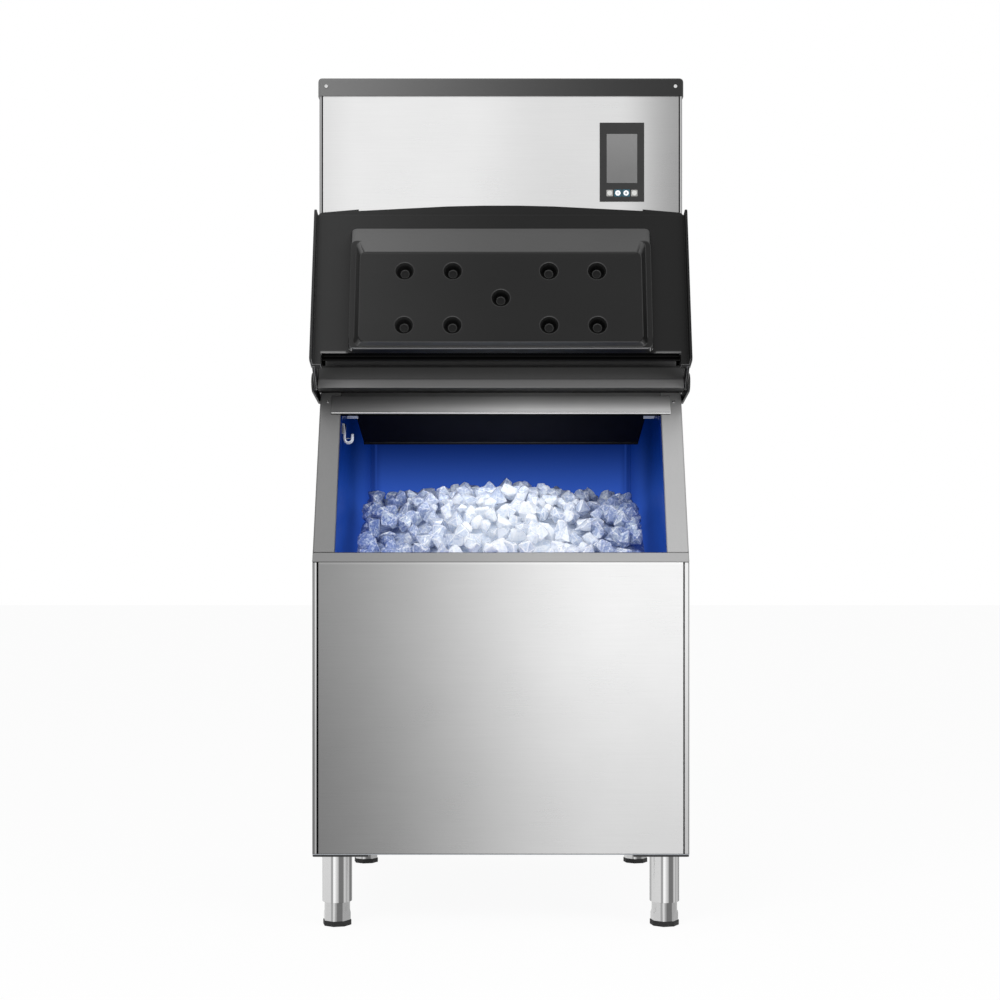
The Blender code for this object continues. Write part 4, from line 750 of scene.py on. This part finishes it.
# Keys of the control panel: a tile round each, and a sign on the two middle ones
panel_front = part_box("control_panel")[0].y
tiles = (
    ("power", silver_tile, 0.0136, 0.0136),
    ("minus", teal_tile, 0.0158, 0.0150),
    ("plus", teal_tile, 0.0158, 0.0150),
    ("set", silver_tile, 0.0136, 0.0136),
)
tile_points, tile_corner, tile_thickness = 48, 10, 0.0003
hole_clearance = 0.0004
sign_length, sign_width, sign_thickness = 0.0054, 0.0014, 0.0002
for key, finish, width, height in tiles:
    low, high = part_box("button_" + key)
    across, up = (low.x + high.x) / 2, (low.z + high.z) / 2
    outline, hole = rounded_tile(across, up, width, height, (high.x - low.x) / 2 + hole_clearance)
    plate(f"key_tile_{key}", outline, hole, panel_front, tile_thickness, finish, "cabinet")
for key in ("minus", "plus"):
    low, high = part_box("button_" + key)
    outline = key_sign((low.x + high.x) / 2, (low.z + high.z) / 2, key == "plus")
    plate(f"key_sign_{key}", outline, (), low.y, sign_thickness, dark_print, "button_" + key)

# Screws of the top cover and of the opening's frame: distance from the middle, height, radius
for word, side in (("left", -1), ("right", 1)):
    screw(f"cover_screw_{word}", "top_cover", side * 0.367, 1.7440, 0.0040)
    screw(f"frame_screw_{word}", f"frame_rail_{word}", side * 0.3650, 1.0826, 0.0028)

# Rolled lip along the top rail, seal between the rail and the hood, rolled lower edge of the ice deflector
bead("top_rail_lip", 0.3565, -0.2795, 1.0583, 0.0015, lip_steel)
bead("hood_seal", 0.3785, -0.2530, 1.1030, 0.0022, rubber)
edge_height = 1.0095
edge_y = surface_at("ice_deflector", 0, edge_height)[0].y
bead("deflector_edge", 0.288, edge_y, edge_height, 0.0009, bezel_plastic)


# Loose ice: a mound of packed chips with chunks over it
ice_seed = 11
mould_count = 60
chunk_pitch = 0.0305
chunk_sizes = (0.034, 0.054)
# A chunk's shift is a share of the pitch; its lift, its reach and the width of its worn rims are shares of its size
chunk_wobble = 0.45
chunk_lift = (-0.34, 0.06)
chunk_reach = 0.52
chunk_wear = 0.036
chunk_corners = 17
chunk_stretch, chunk_swell, chunk_relief = (0.70, 1.0), (0.85, 1.05), (0.955, 1.025)
chunk_flat_angle, chunk_sharp_angle = 12, 32
# Share of clear chunks in the middle, and how it grows towards the sides
clear_share, clear_growth, clear_curve = 0.25, 1.1, 1.5
# How far the ice stays behind the slanted opening, the chunks' part of it, and how steeply the mound falls there
slant_clearance, slant_reach, slant_fall = 0.038, 0.6, 2.6
heap_half_width = 0.306
# The heap's height, the shares of its depth and width where it starts to fall, and how far it falls
heap_top, heap_ridge, heap_shoulder = 0.914, 0.42, 0.84
side_drop, shoulder_drop, front_drop, back_drop = 0.040, 0.050, 0.150, 0.060
mound_depth = 0.031
mound_steps = (44, 48)


def ice_level(low, high, x, y):
    """Height of the heap's top at a place in the bin: it falls to the sides, to the front and to the back."""
    across = min(abs(x) / high.x, 1)
    inward = (y - low.y) / (high.y - low.y)
    front = max(0, 1 - inward / heap_ridge) ** 1.6
    back = max(0, (inward - heap_ridge) / (1 - heap_ridge)) ** 2
    shoulder = max(0, (across - heap_shoulder) / (1 - heap_shoulder)) ** 2
    return heap_top - side_drop * across ** 1.1 - shoulder_drop * shoulder - front_drop * front - back_drop * back


def slant_depth(place):
    """Distance behind the slanted face of the bin's opening."""
    along = (opening_head - opening_foot).normalized()
    return Vector((0, along.z, -along.y)).dot(place - opening_foot)


def any_direction(dice):
    return Vector([dice.gauss(0, 1) for _ in range(3)])


def ice_chunk(dice):
    """Chipped lump of ice of size 1: the hull of points on a rounded cube, with its edges worn to rims."""
    chunk = bmesh.new()
    stretch = Vector([dice.uniform(*chunk_stretch) for _ in range(3)])
    for _ in range(chunk_corners):
        point = any_direction(dice).normalized()
        blocky = max(abs(point.x), abs(point.y), abs(point.z)) ** 0.6
        chunk.verts.new(point / blocky * stretch * 0.5 * dice.uniform(*chunk_swell))
    hull = bmesh.ops.convex_hull(chunk, input=chunk.verts)
    inside = list(dict.fromkeys(hull["geom_interior"] + hull["geom_unused"]))
    bmesh.ops.delete(chunk, geom=inside, context="VERTS")
    bmesh.ops.dissolve_limit(chunk, angle_limit=math.radians(chunk_flat_angle), verts=chunk.verts, edges=chunk.edges)
    worn = bmesh.ops.bevel(
        chunk, geom=list(chunk.edges), offset=chunk_wear, segments=1, affect="EDGES", clamp_overlap=True
    )
    for face in worn["faces"]:
        face.material_index = 1
    bmesh.ops.triangulate(chunk, faces=[face for face in chunk.faces if len(face.verts) > 4])
    bmesh.ops.subdivide_edges(chunk, edges=chunk.edges, cuts=1, use_grid_fill=True)
    for vert in chunk.verts:
        vert.co *= dice.uniform(*chunk_relief)
    return chunk


def ice_mound(low, high):
    """Points and faces of the packed ice under the chunks: a wavy top, and walls down to the heap's foot."""
    across, along = mound_steps
    points, faces = [], []
    for row in range(along + 1):
        for column in range(across + 1):
            x = (column / across * 2 - 1) * heap_half_width
            y = low.y + row / along * (high.y - low.y)
            z = ice_level(low, high, x, y) - mound_depth
            deep = slant_clearance - slant_depth(Vector((x, y, z)))
            points.append(Vector((x, y, z - max(0, deep) * slant_fall)))
    width = across + 1
    for row in range(along):
        for column in range(across):
            first = row * width + column
            faces.append([first, first + 1, first + width + 1, first + width])
    rim = list(range(width)) + [row * width + across for row in range(1, along + 1)]
    rim += [along * width + column for column in range(across - 1, -1, -1)]
    rim += [row * width for row in range(along - 1, 0, -1)]
    foot = len(points)
    points += [Vector((points[number].x, points[number].y, low.z)) for number in rim]
    for number in range(len(rim)):
        after = (number + 1) % len(rim)
        faces.append([rim[number], foot + number, foot + after, rim[after]])
    faces.append([foot + number for number in reversed(range(len(rim)))])
    return points, faces


def ice_mould(dice):
    """Points, faces and rim marks of a chunk."""
    chunk = ice_chunk(dice)
    chunk.verts.index_update()
    points = [vert.co.copy() for vert in chunk.verts]
    faces = [[vert.index for vert in face.verts] for face in chunk.faces]
    rims = [face.material_index for face in chunk.faces]
    chunk.free()
    return points, faces, rims


def loose_ice():
    """Chunks in staggered rows over the mound; the ones at its sides are clearer than the middle ones."""
    dice = random.Random(ice_seed)
    low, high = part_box("ice_heap")
    moulds = [ice_mould(dice) for _ in range(mould_count)]
    points, faces = ice_mound(low, high)
    finishes = [0] * len(faces)
    rows = int((high.y - low.y) / chunk_pitch)
    columns = int(2 * heap_half_width / chunk_pitch)
    for row in range(rows + 1):
        for column in range(columns + 1):
            y = low.y + (row + 0.5 + dice.uniform(-chunk_wobble, chunk_wobble)) * chunk_pitch
            shift = 0.5 * (row % 2) + dice.uniform(-chunk_wobble, chunk_wobble)
            x = (column + shift) * chunk_pitch - heap_half_width
            size = dice.uniform(*chunk_sizes)
            reach = size * chunk_reach
            x = min(max(x, reach - heap_half_width), heap_half_width - reach)
            y = min(max(y, low.y + reach), high.y - reach)
            place = Vector((x, y, ice_level(low, high, x, y) + size * dice.uniform(*chunk_lift)))
            turn = Matrix.Rotation(dice.uniform(0, math.tau), 4, any_direction(dice))
            clear = dice.random() < clear_share + clear_growth * (abs(x) / high.x) ** clear_curve
            mould_points, mould_faces, mould_rims = dice.choice(moulds)
            if slant_depth(place) < slant_clearance + reach * slant_reach:
                continue
            matrix = Matrix.Translation(place) @ turn @ Matrix.Scale(size, 4)
            first = len(points)
            points.extend(matrix @ point for point in mould_points)
            faces.extend([first + number for number in face] for face in mould_faces)
            # The worn rims take the ice with the painted highlight
            finishes.extend(2 if rim else int(clear) for rim in mould_rims)
    mesh = bpy.data.meshes.new("loose_ice")
    mesh.from_pydata(points, [], faces)
    shade(mesh, chunk_sharp_angle)
    mesh.polygons.foreach_set("material_index", finishes)
    piece = place_mesh("loose_ice", mesh, [bright_ice, clear_ice, ice_rim_highlight], "cabinet")
    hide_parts("ice_heap")


loose_ice()


seen_rays = ("Is Camera Ray", "Is Glossy Ray", "Is Transmission Ray")
floor_size, floor_level, floor_white = 30, -0.0002, 0.93


def floor_finish():
    """Pale matt ground that shows as nearly plain white, with the faint shadow that falls on it."""
    finish = Finish("studio_floor", Base_Color=tone(0.98), Roughness=0.9, Specular_IOR_Level=0.1)
    glow = finish.node("Emission", None, {"Color": (1, 1, 1), "Strength": 1.0})
    camera, glossy, transmission = [finish.node("LightPath", output=ray) for ray in seen_rays]
    seen = (camera + glossy + transmission).least(1) * floor_white
    matt = Signal(finish, finish.shader.outputs[0])
    shown = finish.node("MixShader", None, {0: seen, 1: matt, 2: glow})
    output = next(node for node in finish.tree.nodes if node.type == "OUTPUT_MATERIAL")
    finish.tree.links.new(shown.socket, output.inputs["Surface"])
    return finish


def stage_floor():
    """Large pale floor under the feet."""
    bm = bmesh.new()
    sides = ((-1, -1), (1, -1), (1, 1), (-1, 1))
    bm.faces.new([bm.verts.new((x * floor_size, y * floor_size, floor_level)) for x, y in sides])
    mesh = bpy.data.meshes.new("studio_floor")
    bm.to_mesh(mesh)
    bm.free()
    mesh.materials.append(floor_finish().material)
    floor = bpy.data.objects.new("studio_floor", mesh)
    bpy.context.scene.collection.objects.link(floor)


def lamp(name, place, target, size, power):
    """Soft square lamp that points at a place: size in metres, power in watts. It isn't seen or mirrored itself."""
    data = bpy.data.lights.new(name, "AREA")
    data.size = size
    data.energy = power
    light = bpy.data.objects.new(name, data)
    light.location = place
    light.rotation_euler = (Vector(target) - Vector(place)).to_track_quat("-Z", "Y").to_euler()
    light.visible_glossy = False
    light.visible_camera = False
    bpy.context.scene.collection.objects.link(light)
    return light


world_light, world_seen = 0.55, 1.0


def studio_world():
    """White surroundings as seen, and an even soft light from them."""
    world = bpy.data.worlds.new("studio")
    world.use_nodes = True
    bpy.context.scene.world = world
    tree = world.node_tree
    path = tree.nodes.new("ShaderNodeLightPath")
    background = tree.nodes["Background"]
    seen = path.outputs[seen_rays[0]]
    for ray in seen_rays[1:]:
        join = tree.nodes.new("ShaderNodeMath")
        join.operation = "MAXIMUM"
        tree.links.new(seen, join.inputs[0])
        tree.links.new(path.outputs[ray], join.inputs[1])
        seen = join.outputs[0]
    level = tree.nodes.new("ShaderNodeMapRange")
    level.inputs["To Min"].default_value = world_light
    level.inputs["To Max"].default_value = world_seen
    tree.links.new(seen, level.inputs["Value"])
    background.inputs["Color"].default_value = (1, 1, 1, 1)
    tree.links.new(level.outputs[0], background.inputs["Strength"])


def studio_camera():
    """Camera in front of the machine; its shift keeps it level."""
    data = bpy.data.cameras.new("camera")
    data.lens = camera_lens
    data.sensor_width = camera_sensor
    data.shift_x, data.shift_y = camera_shift
    camera = bpy.data.objects.new("camera", data)
    camera.location = (0, bin_front - camera_distance, camera_height)
    camera.rotation_euler = (math.pi / 2, 0, 0)
    bpy.context.scene.collection.objects.link(camera)
    bpy.context.scene.camera = camera


stage_floor()
studio_world()
studio_camera()
lamp("key_lamp", (-1.4, -3.0, 3.2), (0, 0, 0.9), 2.0, 70)
lamp("fill_lamp", (2.4, -2.6, 1.8), (0, 0, 0.9), 2.0, 40)
# Low bluish strip behind the deflector, which lights the ice and shows in its gloss
bin_lamp = lamp("bin_lamp", (0, -0.235, 1.040), (0, -0.20, 0.8), 0.30, 0.22)
bin_lamp.data.shape = "RECTANGLE"
bin_lamp.data.size_y = 0.03
bin_lamp.data.color = (0.85, 0.9, 1.0)
bin_lamp.visible_glossy = True
bpy.context.scene.view_settings.view_transform = "Standard"
